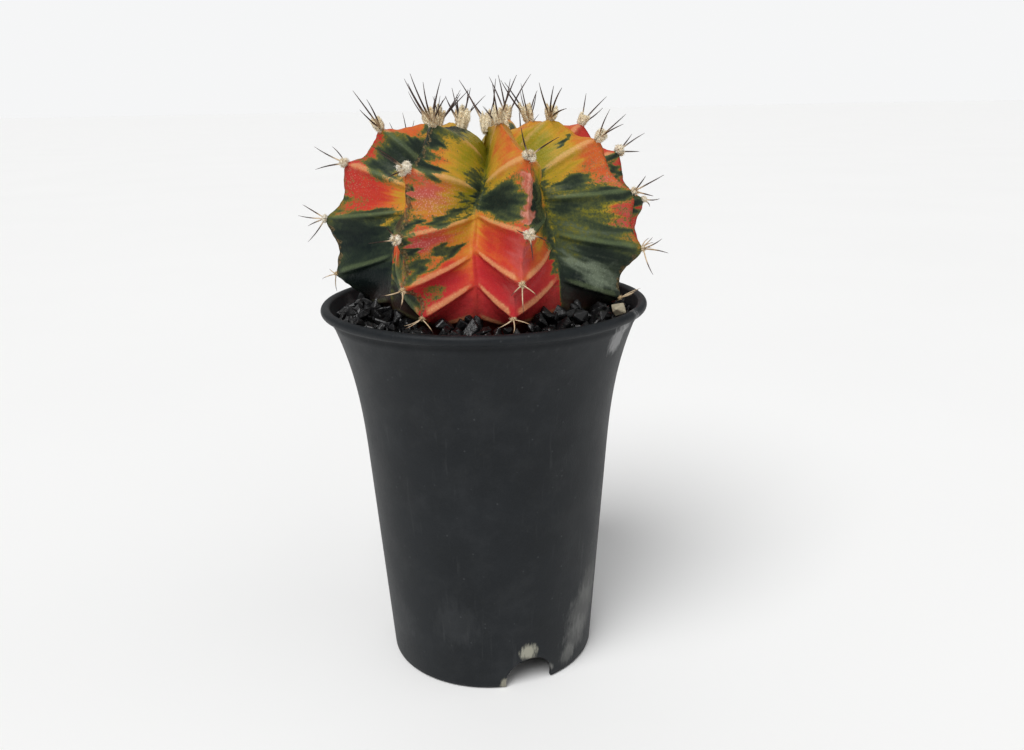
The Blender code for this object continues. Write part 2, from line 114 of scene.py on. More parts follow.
# Each rib: name, reach, and its areoles as growth, azimuth of the crest, longest spine.
RIBS = (
    ("left", 1.0, ((11, -84, 8), (24, -84, 11), (35, -86, 9.5), (48, -88, 8.8), (61, -88, 6))),
    ("front_left", 1.0, ((9, -36, 7), (21, -32, 12), (35, -31.3, 10.5), (49, -30.2, 8),
                         (59.5, -29.7, 6), (66.5, -26, 5.5))),
    ("front", 1.0, ((8, 6, 7), (19, 10, 12), (32.5, 17, 10), (48, 12.5, 7.5), (58, 10.2, 6.5),
                    (66.5, 8.5, 5.5))),
    ("right", 1.02, ((6.5, 62, 6), (17.5, 62, 11), (29, 66, 9), (42, 67, 9), (55, 68, 8),
                     (67, 69, 5.5))),
    ("back_right", 1.08, ((12, 110, 9), (24, 107, 10), (34, 101, 9), (46, 99, 4.6), (58, 100, 4.2))),
    ("back", 1.0, ((8, 158, 7), (20, 160, 11), (33, 160, 10), (46, 158, 8.5), (59, 156, 6))),
    ("back_left", 1.0, ((10, 214, 8), (22.5, 216, 11), (34, 217, 10), (47, 216, 8.5),
                        (60, 215, 6))),
)
FURROW_SHIFTS = (0, 2.5, 0, 0, 0, 0, 0)         # degrees, of the furrow after each rib
YOUNG_FURROW_SHIFTS = (0, 36, 0, 0, 0, 0, 0)    # what the youngest growth adds to that
ADULT_GROWTH = 35.0                 # growth length at which the relief has its full depth
CHIN_DEPTH = 2.7                    # hollow of the crest between its areoles
CHIN_LAG = 1.2                      # above 1 it is deepest a little below the middle
CHIN_FADE = 1.5                     # how quickly it runs out across the flank
# The chevron ridges: growth, how far the skin drops below them, length of the rise to them.
RIDGES = ((12, 1.2, 3.5), (20, 1.7, 5.0), (35, 1.6, 4.2), (50, 1.2, 2.6), (66, 1.0, 1.8))
LIP_BELOW = 0.75                    # growth length of the sharp drop under a ridge
LOW_AREOLE = 63.0                   # past this growth a rib's hidden ridge follows sooner
FURROW_ROUNDING = 0.08              # share of a flank that is rounded into an old furrow
ROUNDING_START, ROUNDING_SPAN = 40.0, 12.0      # growth where that begins, and its length
SLOPE_STEP = 0.5                    # growth length over which the crest's slope is taken
AREOLE_SPAN = 5.0                   # growth on each side that gives an areole its direction
FLANK_COLUMNS = 26
COLUMN_POWER = 1.15                 # above 1 the columns crowd towards the crest
GROWTH_STEP = 1.0 / 3.0
ROOT_STEP = 3.0
FLANK_UNIT = 15.0                   # mm that one flank counts for in the flow map
# Unevenness of the skin: the noise's fineness and its depth in mm, broad and fine everywhere,
# and what the crests add to it.
SKIN_BROAD, SKIN_FINE = (260, 0.12), (900, 0.05)
CREST_BROAD, CREST_FINE = (520, 0.22), 0.1

# Variegation, patch by patch: tone, growth, place across the rib (-1 and 1 are the furrows on
# its left and right, 0 is its crest), half length, half breadth and strength.  "flush" runs from
# 0 for yellow-green over yellow, orange and red to 1 for crimson; "green" is the dark pigment;
# "stipple" is fine pale dotting; the rose tone is a pink bloom, and on the front rib's crest also
# a painted highlight; the frost tone is a grey-green bloom, partly a painted sheen.
PATCHES = {
    "left": (
        ("flush", 18, 0.25, 5, 0.4, 0.56), ("green", 14, 0.2, 1.4, 0.25, 0.7),
        ("green", 21, 0.62, 5, 0.22, 1.1), ("green", 22.4, 0.3, 1.2, 0.2, 0.55),
        ("flush", 27, 0.05, 3, 0.14, 0.95), ("green", 27.5, 0.5, 3.8, 0.34, 1.02),
        ("flush", 33, 0.05, 3, 0.2, 0.97), ("green", 32.4, 0.44, 2.4, 0.24, 1.0),
        ("flush", 33, 0.8, 3.5, 0.14, 0.3), ("green", 33, 0.7, 1.8, 0.1, 0.5),
        ("flush", 41, 0.3, 6, 0.42, 0.86), ("flush", 40, 0.82, 6, 0.16, 0.44),
        ("green", 46.8, 0.55, 0.9, 0.3, 0.68), ("green", 53.8, 0.38, 5.6, 0.5, 1.3),
        ("green", 56, 0.75, 4, 0.24, 0.95), ("flush", 51.5, 0.8, 3, 0.16, 0.34),
        ("green", 50.6, 0.72, 2.2, 0.1, 0.4), ("green", 66, 0.45, 6, 0.6, 1.4),
        ("green", 74, 0.4, 5, 0.8, 1.5),
        ("green", 30, -0.5, 4.5, 0.3, 1.0), ("green", 43, -0.45, 4, 0.45, 1.1),
        ("stipple", 38, -0.3, 5, 0.4, 0.9), ("green", 57, -0.6, 4, 0.35, 1.2),
    ),
    "front_left": (
        ("flush", 14, 0.65, 8, 0.3, 0.2), ("flush", 12, 0.98, 9, 0.1, 0.0),
        ("green", 14.5, 0.12, 6, 0.24, 1.05), ("green", 19.2, 0.4, 2, 0.1, 0.6),
        ("flush", 26, 0.3, 4, 0.2, 0.4), ("flush", 28.5, 0.18, 2.2, 0.14, 0.7),
        ("green", 24.6, 0.11, 2, 0.1, 1.0), ("green", 31.8, 0.06, 2.2, 0.08, 1.0),
        ("green", 33.4, 0.21, 1.4, 0.14, 1.1), ("flush", 28, 0.62, 6, 0.2, 0.16),
        ("green", 29.5, 0.76, 3, 0.14, 0.62), ("green", 24, 0.9, 3, 0.08, 0.5),
        ("green", 33, 0.9, 3.5, 0.1, 0.85), ("green", 38, 0.96, 6, 0.09, 1.1),
        ("flush", 37.8, 0.22, 1.7, 0.2, 1.0), ("flush", 43, 0.24, 3, 0.24, 0.46),
        ("stipple", 40.5, 0.24, 4.2, 0.26, 1.1), ("flush", 41, 0.5, 4.5, 0.16, 0.42),
        ("rose_and_highlight", 38.8, 0.2, 2.7, 0.18, 1.0),
        ("flush", 41, 0.75, 6, 0.18, 0.14), ("green", 39.4, 0.7, 1.3, 0.1, 0.9),
        ("green", 44.2, 0.6, 1.5, 0.12, 0.85), ("green", 46.2, 0.4, 1.5, 0.12, 0.95),
        ("green", 47, 0.7, 0.9, 0.2, 0.6), ("green", 42.5, 0.82, 4, 0.1, 0.5),
        ("green", 45.4, 0.08, 1.8, 0.06, 1.15), ("green", 38.5, 0.03, 2, 0.03, 0.9),
        ("flush", 51, 0.26, 2, 0.24, 1.0), ("stipple", 51.6, 0.28, 2.6, 0.26, 1.1),
        ("rose_and_highlight", 51.4, 0.24, 2.2, 0.24, 0.9),
        ("flush", 55.2, 0.22, 1.8, 0.2, 0.5), ("green", 52, 0.05, 2.4, 0.05, 1.1),
        ("green", 54.3, 0.42, 1.2, 0.12, 0.72), ("green", 56, 0.6, 1.5, 0.16, 0.95),
        ("green", 56.6, 0.13, 1.2, 0.1, 0.9), ("green", 57.4, 0.4, 0.6, 0.16, 0.6),
        ("flush", 53, 0.78, 4.6, 0.26, 0.34), ("flush", 57.8, 0.4, 0.9, 0.4, 0.42),
        ("flush", 62, 0.35, 3, 0.4, 1.08), ("flush", 60.5, 0.9, 4.5, 0.18, 0.52),
        ("green", 63.6, 0.27, 1.0, 0.15, 0.47), ("flush", 70, 0.5, 3.5, 0.6, 1.05),
        ("green", 14, -0.25, 7, 0.2, 1.1), ("flush", 18, -0.7, 7, 0.25, 0.5),
        ("green", 26.5, -0.3, 5.5, 0.35, 1.3), ("flush", 31, -0.75, 4, 0.2, 0.6),
        ("flush", 39.5, -0.2, 3.6, 0.3, 0.44), ("green", 46.5, -0.3, 2.6, 0.4, 0.85),
        ("green", 53.5, -0.32, 3.5, 0.24, 1.0), ("green", 58.5, -0.2, 1.4, 0.2, 0.6),
        ("green", 64, -0.56, 3.5, 0.4, 1.2), ("green", 71, -0.6, 4, 0.4, 1.4),
    ),
    "front": (
        ("flush", 10, -0.5, 10, 0.5, 0.14), ("flush", 22, -0.72, 9, 0.3, 0.2),
        ("flush", 20, -0.98, 14, 0.1, 0.0), ("green", 31, -0.97, 4, 0.08, 0.75),
        ("flush", 27, -0.32, 7, 0.28, 0.52), ("flush", 25, -0.03, 8, 0.13, 0.7),
        ("flush", 34.5, -0.08, 1.4, 0.16, 0.95), ("flush", 34, -0.6, 1.4, 0.4, 0.28),
        ("green", 40.5, -0.52, 5.1, 0.46, 1.15), ("green", 38.5, -0.92, 4, 0.1, 0.85),
        ("flush", 46, -0.55, 1.1, 0.5, 0.32), ("flush", 52, -0.5, 4.6, 0.34, 0.74),
        ("flush", 50.5, -0.16, 2.4, 0.22, 0.9), ("flush", 53, -0.92, 6, 0.14, 0.38),
        # the rose patches along this crest are partly a painted highlight
        ("flush", 54.5, 0.0, 3, 0.12, 1.0), ("rose_and_highlight", 52.6, -0.03, 4, 0.12, 1.0),
        ("rose_and_highlight", 61.5, -0.03, 2.6, 0.14, 0.7), ("flush", 56.6, -0.45, 1.0, 0.4, 0.55),
        ("flush", 61.6, -0.4, 3.4, 0.5, 1.12), ("flush", 70, -0.4, 3.6, 0.6, 1.1),
        ("flush", 22, 0.4, 8, 0.4, 0.4), ("flush", 34.6, 0.12, 1.4, 0.1, 0.9),
        ("flush", 34.6, 0.45, 2.2, 0.26, 0.12), ("green", 24, 0.8, 5, 0.2, 0.55),
        ("green", 41, 0.2, 5, 0.12, 1.25), ("green", 41.5, 0.55, 5.5, 0.26, 0.86),
        ("green", 47.2, 0.3, 1.2, 0.22, 1.1), ("rose_and_highlight", 36.4, 0.0, 1.2, 0.12, 1.0),
        ("flush", 52.5, 0.2, 3.6, 0.16, 0.76),
        ("flush", 53, 0.45, 4, 0.18, 0.36), ("green", 52, 0.82, 5.5, 0.24, 0.64),
        ("green", 50.4, 0.5, 1.6, 0.14, 0.55), ("flush", 57.2, 0.4, 0.8, 0.4, 0.5),
        ("flush", 62, 0.35, 3.2, 0.4, 1.0), ("flush", 60, 0.9, 9, 0.13, 0.8),
        ("flush", 70, 0.5, 3.5, 0.5, 0.98), ("green", 57, 0.94, 9, 0.09, 0.85),
    ),
    "right": (
        ("flush", 54, -0.62, 12, 0.4, 0.03), ("flush", 11.5, -0.4, 3, 0.6, 0.62),
        ("flush", 18, -0.6, 3.4, 0.4, 0.22), ("flush", 22.5, -0.6, 4, 0.24, 0.08),
        ("flush", 23, -0.15, 5, 0.2, 0.4), ("green", 24.2, -0.3, 1.1, 0.13, 1.0),
        ("green", 23, -0.14, 0.5, 0.06, 0.8), ("flush", 29, -0.5, 4, 0.28, 0.22),
        ("green", 30, -0.95, 6, 0.1, 0.8), ("flush", 30, -0.12, 3, 0.16, 0.62),
        ("flush", 35, -0.12, 3.6, 0.16, 0.72), ("rose_and_highlight", 38, -0.07, 2.6, 0.08, 0.7),
        ("flush", 46, -0.32, 6, 0.18, 0.08), ("green", 45.2, -0.58, 9.8, 0.46, 0.61),
        ("green", 36.2, -0.5, 1.8, 0.22, 0.95),
        ("green", 38, -0.92, 5, 0.1, 0.62), ("green", 41.6, -0.2, 1.0, 0.2, 1.0),
        ("flush", 48, -0.04, 4.6, 0.08, 0.9), ("rose_and_highlight", 48, -0.04, 4.4, 0.07, 0.8),
        ("green", 45.2, -0.68, 1.9, 0.14, 0.98), ("green", 46.8, -0.37, 2.2, 0.1, 0.48),
        ("green", 51, -0.24, 1.8, 0.18, 0.95), ("green", 52.6, -0.62, 2, 0.36, 0.56),
        ("green", 58.4, -0.32, 3.8, 0.34, 1.1), ("green", 57, -0.86, 7, 0.16, 0.6),
        # the frost patches on this flank are partly a painted sheen, where light glances off the
        # skin
        ("green", 64, -0.4, 2.4, 0.5, 0.85), ("bloom_and_sheen", 61, -0.68, 1.5, 0.16, 0.75),
        ("bloom_and_sheen", 62.6, -0.44, 1.5, 0.18, 1.0), ("bloom_and_sheen", 64.4, -0.2, 1.5, 0.2, 0.9),
        ("bloom_and_sheen", 52, -0.5, 1.4, 0.4, 0.3), ("green", 67, -0.55, 1.6, 0.4, 1.5),
        ("green", 66, -0.94, 5, 0.16, 0.95), ("green", 73, -0.4, 6, 0.56, 1.5),
        ("green", 34, 0.5, 4.5, 0.35, 1.1), ("green", 47, 0.6, 5, 0.35, 1.1),
        ("stipple", 38, 0.2, 5, 0.3, 0.9), ("green", 62, 0.35, 4, 0.4, 1.2),
    ),
    "back_right": (
        ("flush", 12, -0.1, 3, 0.3, 0.45), ("flush", 23, -0.1, 3, 0.3, 0.66),
        ("flush", 27, -0.1, 2.5, 0.3, 0.95), ("flush", 31.5, -0.05, 1.5, 0.2, 0.8),
        ("green", 34, -0.12, 0.9, 0.2, 1.1), ("flush", 36, -0.16, 2, 0.1, 0.5),
        ("green", 38, -0.08, 2.6, 0.05, 0.8), ("rose_and_highlight", 38, -0.14, 6, 0.12, 0.8),
        ("flush", 39, -0.02, 3, 0.05, 0.9),
        ("green", 47, -0.1, 2.6, 0.1, 1.1), ("flush", 52, -0.04, 4, 0.1, 0.9),
        ("green", 42, -0.5, 4, 0.26, 1.2), ("green", 55, -0.4, 4, 0.3, 1.2),
        ("green", 28, 0.55, 4, 0.3, 1.0), ("green", 41, 0.4, 3, 0.3, 1.1),
        ("stipple", 50, 0.3, 5, 0.3, 0.9), ("green", 57, 0.7, 4, 0.3, 1.0),
    ),
    "back": (
        ("green", 15, -0.5, 4, 0.3, 1.0), ("green", 28, -0.3, 4.5, 0.35, 1.2),
        ("stipple", 39, -0.3, 5, 0.35, 1.0), ("green", 44, -0.7, 3.5, 0.25, 0.8),
        ("green", 54, -0.3, 3.5, 0.4, 1.3), ("green", 26, 0.6, 4, 0.25, 0.8),
        ("green", 38, 0.45, 4, 0.4, 1.2), ("stipple", 51, 0.25, 5, 0.3, 0.9),
        ("green", 65, 0.5, 4.5, 0.45, 1.3),
    ),
    "back_left": (
        ("green", 17, -0.4, 4, 0.35, 1.1), ("green", 29, 0.35, 4.5, 0.4, 1.2),
        ("stipple", 40, 0.3, 5, 0.3, 1.0), ("green", 43, 0.75, 3.5, 0.2, 0.8),
        ("green", 52, 0.4, 4, 0.4, 1.3), ("green", 40, -0.45, 4, 0.4, 1.2),
        ("stipple", 29, -0.3, 4, 0.3, 0.9), ("green", 60, -0.35, 5.5, 0.5, 1.35),
    ),
}
PATCH_SQUARENESS = 2.6              # 2 makes an oval patch, more makes it squarer
# How firm the edge of each tone's patches is.
PATCH_EDGE = {"flush": 1.0, "green": 1.5, "stipple": 1.2, "bloom_and_sheen": 1.0, "rose_and_highlight": 0.9}
# The values that the skin keeps on its vertices for its finish.
SKIN_VALUES = ("flush", "green", "stipple", "bloom_and_sheen", "rose_and_highlight", "band", "crest", "crease_shade",
               "callus", "seam")
# Marks along the crests: kind, growth from and to, middle and half breadth across the rib.
CREST_MARKS = {
    "front": (("callus", 34.6, 37.6, 0.0, 0.1), ("callus", 36.0, 43.0, 0.03, 0.06),
              ("callus", 42.0, 46.4, 0.06, 0.13)),
    "front_left": (("seam", 21.5, 34.0, 0.03, 0.014), ("seam", 36.5, 66.0, 0.01, 0.02)),
    "left": (("seam", 49.0, 61.0, 0.0, 0.02),),
    "right": (("seam", 56.0, 67.0, 0.0, 0.02),),
    "back_left": (("seam", 24.0, 60.0, 0.0, 0.025),),
    "back": (("callus", 34.0, 45.0, 0.0, 0.08), ("seam", 48.0, 58.0, 0.0, 0.025)),
}
# Tones of the skin: from yellow-green over yellow and orange to red and crimson ...
FLUSH_TONES = (
    (0.0, (0.13, 0.145, 0.008)), (0.2, (0.28, 0.24, 0.016)), (0.38, (0.52, 0.285, 0.03)),
    (0.58, (0.57, 0.13, 0.03)), (0.78, (0.52, 0.05, 0.024)), (1.0, (0.45, 0.024, 0.022)),
)
# ... and from olive over leaf green to nearly black.
GREEN_TONES = (
    (0.28, (0.15, 0.14, 0.02)), (0.4, (0.075, 0.09, 0.034)), (0.52, (0.036, 0.05, 0.028)),
    (0.64, (0.02, 0.03, 0.021)), (0.85, (0.008, 0.013, 0.0125)),
)
# Chalky scuffs on the pot: azimuth, height, radius in mm, fineness, amount and tone.
SCUFFS = (
    (57, 14, 9, 900, 0.17, (0.42, 0.42, 0.40)), (51, 8, 6.5, 1100, 0.15, (0.45, 0.45, 0.43)),
    (62, 20, 7, 1200, 0.1, (0.5, 0.5, 0.47)), (44, 4, 3.5, 1300, 0.16, (0.5, 0.5, 0.47)),
    (-62, 13, 9, 900, 0.03, (0.4, 0.41, 0.42)), (-20, 17, 8, 800, 0.025, (0.35, 0.36, 0.37)),
    (17.5, 9, 2.9, 1000, 0.75, (0.42, 0.41, 0.33)), (5.5, 0.8, 2.4, 1000, 0.6, (0.4, 0.38, 0.3)),
    (30, 2.4, 1.8, 1000, 0.4, (0.4, 0.4, 0.38)), (55, 82, 4.6, 1300, 0.5, (0.5, 0.5, 0.5)),
    (60, 85.5, 3.5, 1300, 0.45, (0.55, 0.55, 0.55)),
    (160, 14, 9, 900, 0.07, (0.42, 0.42, 0.4)), (138.7, 8.5, 2.8, 1000, 0.6, (0.42, 0.41, 0.35)),
    (258.7, 8.2, 2.2, 1000, 0.5, (0.42, 0.41, 0.35)), (250, 84, 4, 1300, 0.12, (0.5, 0.5, 0.5)),
)
BED_HEIGHT = 85.3                   # of the stones' bed by the pot's wall
HEAP_HEIGHT = 87.6                  # and against the stem
HEAP_START, HEAP_SPAN = 34.0, 8.0   # radius where the heap begins, and how far in it rises
BANK_HEIGHT = 0.6                   # how much higher they lie under the right rib
BANK_TURN, BANK_SPREAD = -0.6, 0.5  # and where, in radians from +X
BANK_START, BANK_SPAN = 33.0, 5.0
BED_GROWTH, BED_FALL = 66.0, 2.0    # growth where the bed meets a crest, more in a furrow
BED_TUCK = 0.6                      # how far the bed reaches in under the stem
BED_RINGS = 7
BED_COLUMNS = 8                     # on each flank of a rib
# Fans of single areoles, spine by spine: across the rib, up the rib, outwards, length in mm.
SPINE_FANS = {
    "front_left_1": ((-0.68, 0.24, 0.69, 9.0), (-0.49, 0.12, 0.86, 8.3), (-0.3, 0.4, 0.86, 9.0)),
    "front_left_2": ((0.18, -0.52, 0.84, 11.5), (0.15, -0.6, 0.79, 10.6), (0.38, -0.56, 0.74, 11.5),
                     (0.54, -0.35, 0.77, 10.6), (0.66, -0.53, 0.54, 11.5)),
    "front_left_3": ((-0.17, -0.11, 0.98, 10.0), (0.23, -0.64, 0.73, 9.2), (-0.6, 0.1, 0.8, 6.5)),
    "front_left_4": ((-0.23, -0.12, 0.97, 7.0), (0.2, 0.39, 0.9, 6.4), (0.45, -0.48, 0.75, 7.0)),
    "front_left_5": ((0.38, -0.17, 0.91, 6.0), (-0.6, 0.1, 0.7, 4.5), (0.7, 0.3, 0.6, 4.0)),
    "front_left_6": ((-0.2, 0.46, 0.87, 5.5), (0.75, -0.03, 0.66, 5.1), (-0.7, 0.2, 0.7, 4.0)),
    "left_2": ((0.74, -0.06, 0.67, 11.0), (0.89, -0.13, 0.44, 10.1), (0.83, 0.05, 0.55, 9.4)),
    "left_3": ((-0.63, -0.14, 0.76, 10.0), (-0.87, 0.08, 0.49, 9.2), (-0.68, -0.56, 0.48, 10.0)),
    "left_4": ((-0.72, 0.13, 0.68, 8.8), (-0.58, -0.16, 0.8, 8.1), (-0.79, -0.4, 0.47, 8.8),
               (-0.42, -0.81, 0.4, 8.1)),
    "left_5": ((-0.93, 0.18, 0.33, 5.0), (-0.57, -0.1, 0.82, 4.6), (-0.45, -0.84, 0.31, 5.0)),
    "back_left_2": ((-0.05, -0.46, 0.89, 9.0), (-0.59, -0.28, 0.76, 8.3), (0.5, 0.3, 0.8, 9.0)),
    "front_1": ((-0.28, 0.4, 0.87, 12.0), (0.3, 0.3, 0.9, 7.0)),
    "front_2": ((-0.26, -0.62, 0.74, 9.0), (0.08, -0.51, 0.86, 8.3), (0.4, 0.2, 0.9, 7.5)),
    "front_3": ((-0.42, -0.08, 0.9, 10.0), (0.29, -0.28, 0.91, 9.2)),
    "front_4": ((0.3, -0.29, 0.91, 7.0), (-0.12, -0.78, 0.62, 6.4), (-0.7, 0.2, 0.7, 5.0)),
    "front_5": ((-0.57, 0.05, 0.82, 6.0), (0.3, 0.02, 0.95, 5.5), (-0.11, -0.63, 0.77, 6.0)),
    "front_6": ((-0.69, 0.31, 0.65, 5.5), (0.63, 0.33, 0.7, 5.1), (-0.2, 0.3, 0.93, 5.5)),
    "back_1": ((-0.29, 0.31, 0.91, 11.0), (0.4, 0.2, 0.9, 7.0)),
    "back_2": ((0.47, -0.44, 0.76, 12.0), (-0.5, 0.2, 0.8, 9.0), (0.1, 0.5, 0.85, 8.0)),
    "right_2": ((-0.82, -0.09, 0.57, 10.0), (-0.75, -0.31, 0.59, 9.2), (-0.73, -0.44, 0.53, 10.0),
                (-0.77, -0.59, 0.25, 9.2)),
    "right_3": ((-0.7, 0.07, 0.71, 9.0), (-0.45, -0.19, 0.87, 8.3), (-0.67, -0.31, 0.68, 9.0)),
    "right_4": ((-0.8, 0.19, 0.57, 9.0), (-0.35, 0.04, 0.94, 8.3), (-0.79, -0.29, 0.54, 9.0)),
    "right_5": ((-0.69, 0.46, 0.57, 8.0), (-0.56, 0.09, 0.82, 7.4), (-0.71, -0.51, 0.48, 8.0)),
    "back_right_2": ((0.72, -0.12, 0.68, 9.5), (0.4, -0.42, 0.81, 8.7), (0.62, -0.52, 0.58, 9.5)),
    "back_right_3": ((0.67, -0.09, 0.73, 9.0), (0.2, -0.18, 0.96, 8.3), (0.58, -0.55, 0.59, 9.0)),
    "back_right_4": ((0.35, -0.34, 0.87, 5.0), (0.66, -0.63, 0.41, 4.6)),
}


# ---------------------------------------------------------------- mesh helpers
def object_from_mesh(name, mesh, material=None):
    """An object at the origin that holds the mesh."""
    made = bpy.data.objects.new(name, mesh)
    bpy.context.scene.collection.objects.link(made)
    if material:
        mesh.materials.append(material)
    return made


def object_from_bmesh(name, bm, material=None):
    """The same from a mesh still being edited, which this frees."""
    mesh = bpy.data.meshes.new(name)
    bm.to_mesh(mesh)
    bm.free()
    return object_from_mesh(name, mesh, material)


def applied(made):
    """Turn an object's modifiers into its plain mesh and drop them."""
    bpy.context.view_layer.update()
    graph = bpy.context.evaluated_depsgraph_get()
    mesh = bpy.data.meshes.new_from_object(made.evaluated_get(graph), depsgraph=graph)
    made.modifiers.clear()
    old = made.data
    made.data = mesh
    bpy.data.meshes.remove(old)
    return made


def keep_values(mesh, name, values):
    """Store one number for each vertex under a name that the materials read."""
    mesh.attributes.new(name, "FLOAT", "POINT").data.foreach_set("value", np.ascontiguousarray(
        values, dtype=np.float32))


def outward(azimuth):
    """Level directions at azimuths in degrees, from the front towards the right."""
    angle = np.radians(azimuth)
    return np.stack((np.sin(angle), -np.cos(angle), np.zeros_like(angle)), axis=-1)


# ---------------------------------------------------------------- the stem's surface
def smooth_curve(rows, growth, column):
    """One column of the rows at each growth length, on a smooth curve through them."""
    table = np.array([row[:3] for row in rows], float)
    knots, values = table[:, 0], table[:, column]
    last = len(knots) - 1
    growth = np.clip(growth, knots[0], knots[-1])
    start = np.clip(np.searchsorted(knots[1:], growth, side="left"), 0, last - 1)
    end, before, after = start + 1, np.maximum(start - 1, 0), np.minimum(start + 2, last)
    width = knots[end] - knots[start]
    part = (growth - knots[start]) / width
    slope_in = (values[end] - values[before]) / (knots[end] - knots[before]) * width
    slope_out = (values[after] - values[start]) / (knots[after] - knots[start]) * width
    return ((2 * part ** 3 - 3 * part ** 2 + 1) * values[start]
            + (part ** 3 - 2 * part ** 2 + part) * slope_in
            + (3 * part ** 2 - 2 * part ** 3) * values[end]
            + (part ** 3 - part ** 2) * slope_out)


def chevron_lines(index):
    """Growth lengths of a rib's chevron ridges, with the hidden one below the last areole."""
    lines = [areole[0] for areole in RIBS[index][2]]
    return lines + [lines[-1] + (7.0 if lines[-1] > LOW_AREOLE else 11.0)]


def hollows(index, growth, across):
    """How far, in mm, the skin lies below the smooth rib: chins, and drops under the ridges."""
    areoles = [areole[0] for areole in RIBS[index][2]]
    stops = np.array([0.0] + areoles + [ROOT_START])
    upper = np.clip(np.searchsorted(stops, growth, side="right") - 1, 0, len(stops) - 2)
    phase = np.clip((growth - stops[upper]) / (stops[upper + 1] - stops[upper]), 0.0, 1.0)
    age = np.minimum(1.0, growth / ADULT_GROWTH)
    chin = CHIN_DEPTH * np.sin(np.pi * phase ** CHIN_LAG) * (1.0 - across) ** CHIN_FADE
    ridge = np.zeros_like(growth)
    at_growth, depths, rises = np.array(RIDGES, float).T
    for line in chevron_lines(index):
        gap = growth - line
        reach = np.where(gap < 0, np.interp(line, at_growth, rises), LIP_BELOW)
        ridge = np.maximum(ridge, np.exp(-(gap / reach) ** 2))
    depth = np.interp(growth, at_growth, depths)
    lip = depth * (1.0 - ridge) * np.sin(np.pi * np.clip(across, 0, 1)) ** 0.5
    return age * (chin + lip)


def stem_points(index, side, growth, across):
    """Points of the stem in mm: across runs from 0 on a rib's crest to 1 in its furrow."""
    growth, across = np.broadcast_arrays(np.asarray(growth, float), np.asarray(across, float))
    globe = np.clip((NECK_GROWTH - growth) / REACH_FADE, 0.0, 1.0)
    reach = 1.0 + (RIBS[index][1] - 1.0) * (1.0 - across) * globe
    crest_radius = smooth_curve(CREST_LINE, growth, 1)
    crest_height = smooth_curve(CREST_LINE, growth, 2)
    furrow_radius = smooth_curve(FURROW_LINE, growth, 1)
    furrow_height = smooth_curve(FURROW_LINE, growth, 2)
    youth = np.maximum(0.0, 1.0 - growth / YOUNG_GROWTH)
    pillow = 1.0 - across ** (1.0 + youth)
    wedge = (1.0 - across) ** WEDGE_POWER
    rise = wedge + (pillow - wedge) * np.minimum(1.0, PILLOW_STRENGTH * youth)
    bend = FURROW_ROUNDING * np.clip((growth - ROUNDING_START) / ROUNDING_SPAN, 0.0, 1.0)
    rise = (np.hypot(rise, bend) - bend) / (np.hypot(1.0, bend) - bend)
    radius = furrow_radius + (crest_radius * reach - furrow_radius) * rise
    height = crest_height + (furrow_height - crest_height) * across ** (1.0 + youth)
    lean = np.arctan2(crest_height - smooth_curve(CREST_LINE, growth + SLOPE_STEP, 2),
                      smooth_curve(CREST_LINE, growth + SLOPE_STEP, 1) - crest_radius)
    inward = np.where(growth < ROOT_START, hollows(index, growth, across), 0.0)
    radius = radius - inward * np.sin(lean)
    height = height - inward * np.cos(lean)
    own = smooth_curve(RIBS[index][2], growth, 1)
    other = smooth_curve(RIBS[(index + side) % len(RIBS)][2], growth, 1)
    half_gap = ((other - own) * side % 360.0) / 2.0
    furrow = index if side > 0 else index - 1
    shift = FURROW_SHIFTS[furrow] + YOUNG_FURROW_SHIFTS[furrow] * youth ** 2
    azimuth = own + (side * half_gap + shift) * across
    place = PLANT_CENTRE + outward(azimuth) * radius[..., None]
    place[..., 2] += height
    return place


def ragged(growth, place, index):
    """The same places pushed about, so that what is laid out on them gets uneven outlines."""
    turn = 1.7 * index
    push = (0.8 * np.sin(7.1 * place + 0.9 * growth + turn)
            + 0.45 * np.sin(17.0 * place - 1.7 * growth + 2.0 * turn))
    slide = (0.05 * np.sin(1.6 * growth + 3.0 * place + turn)
             + 0.035 * np.sin(3.7 * growth - 9.0 * place + turn))
    return growth + push, place + slide


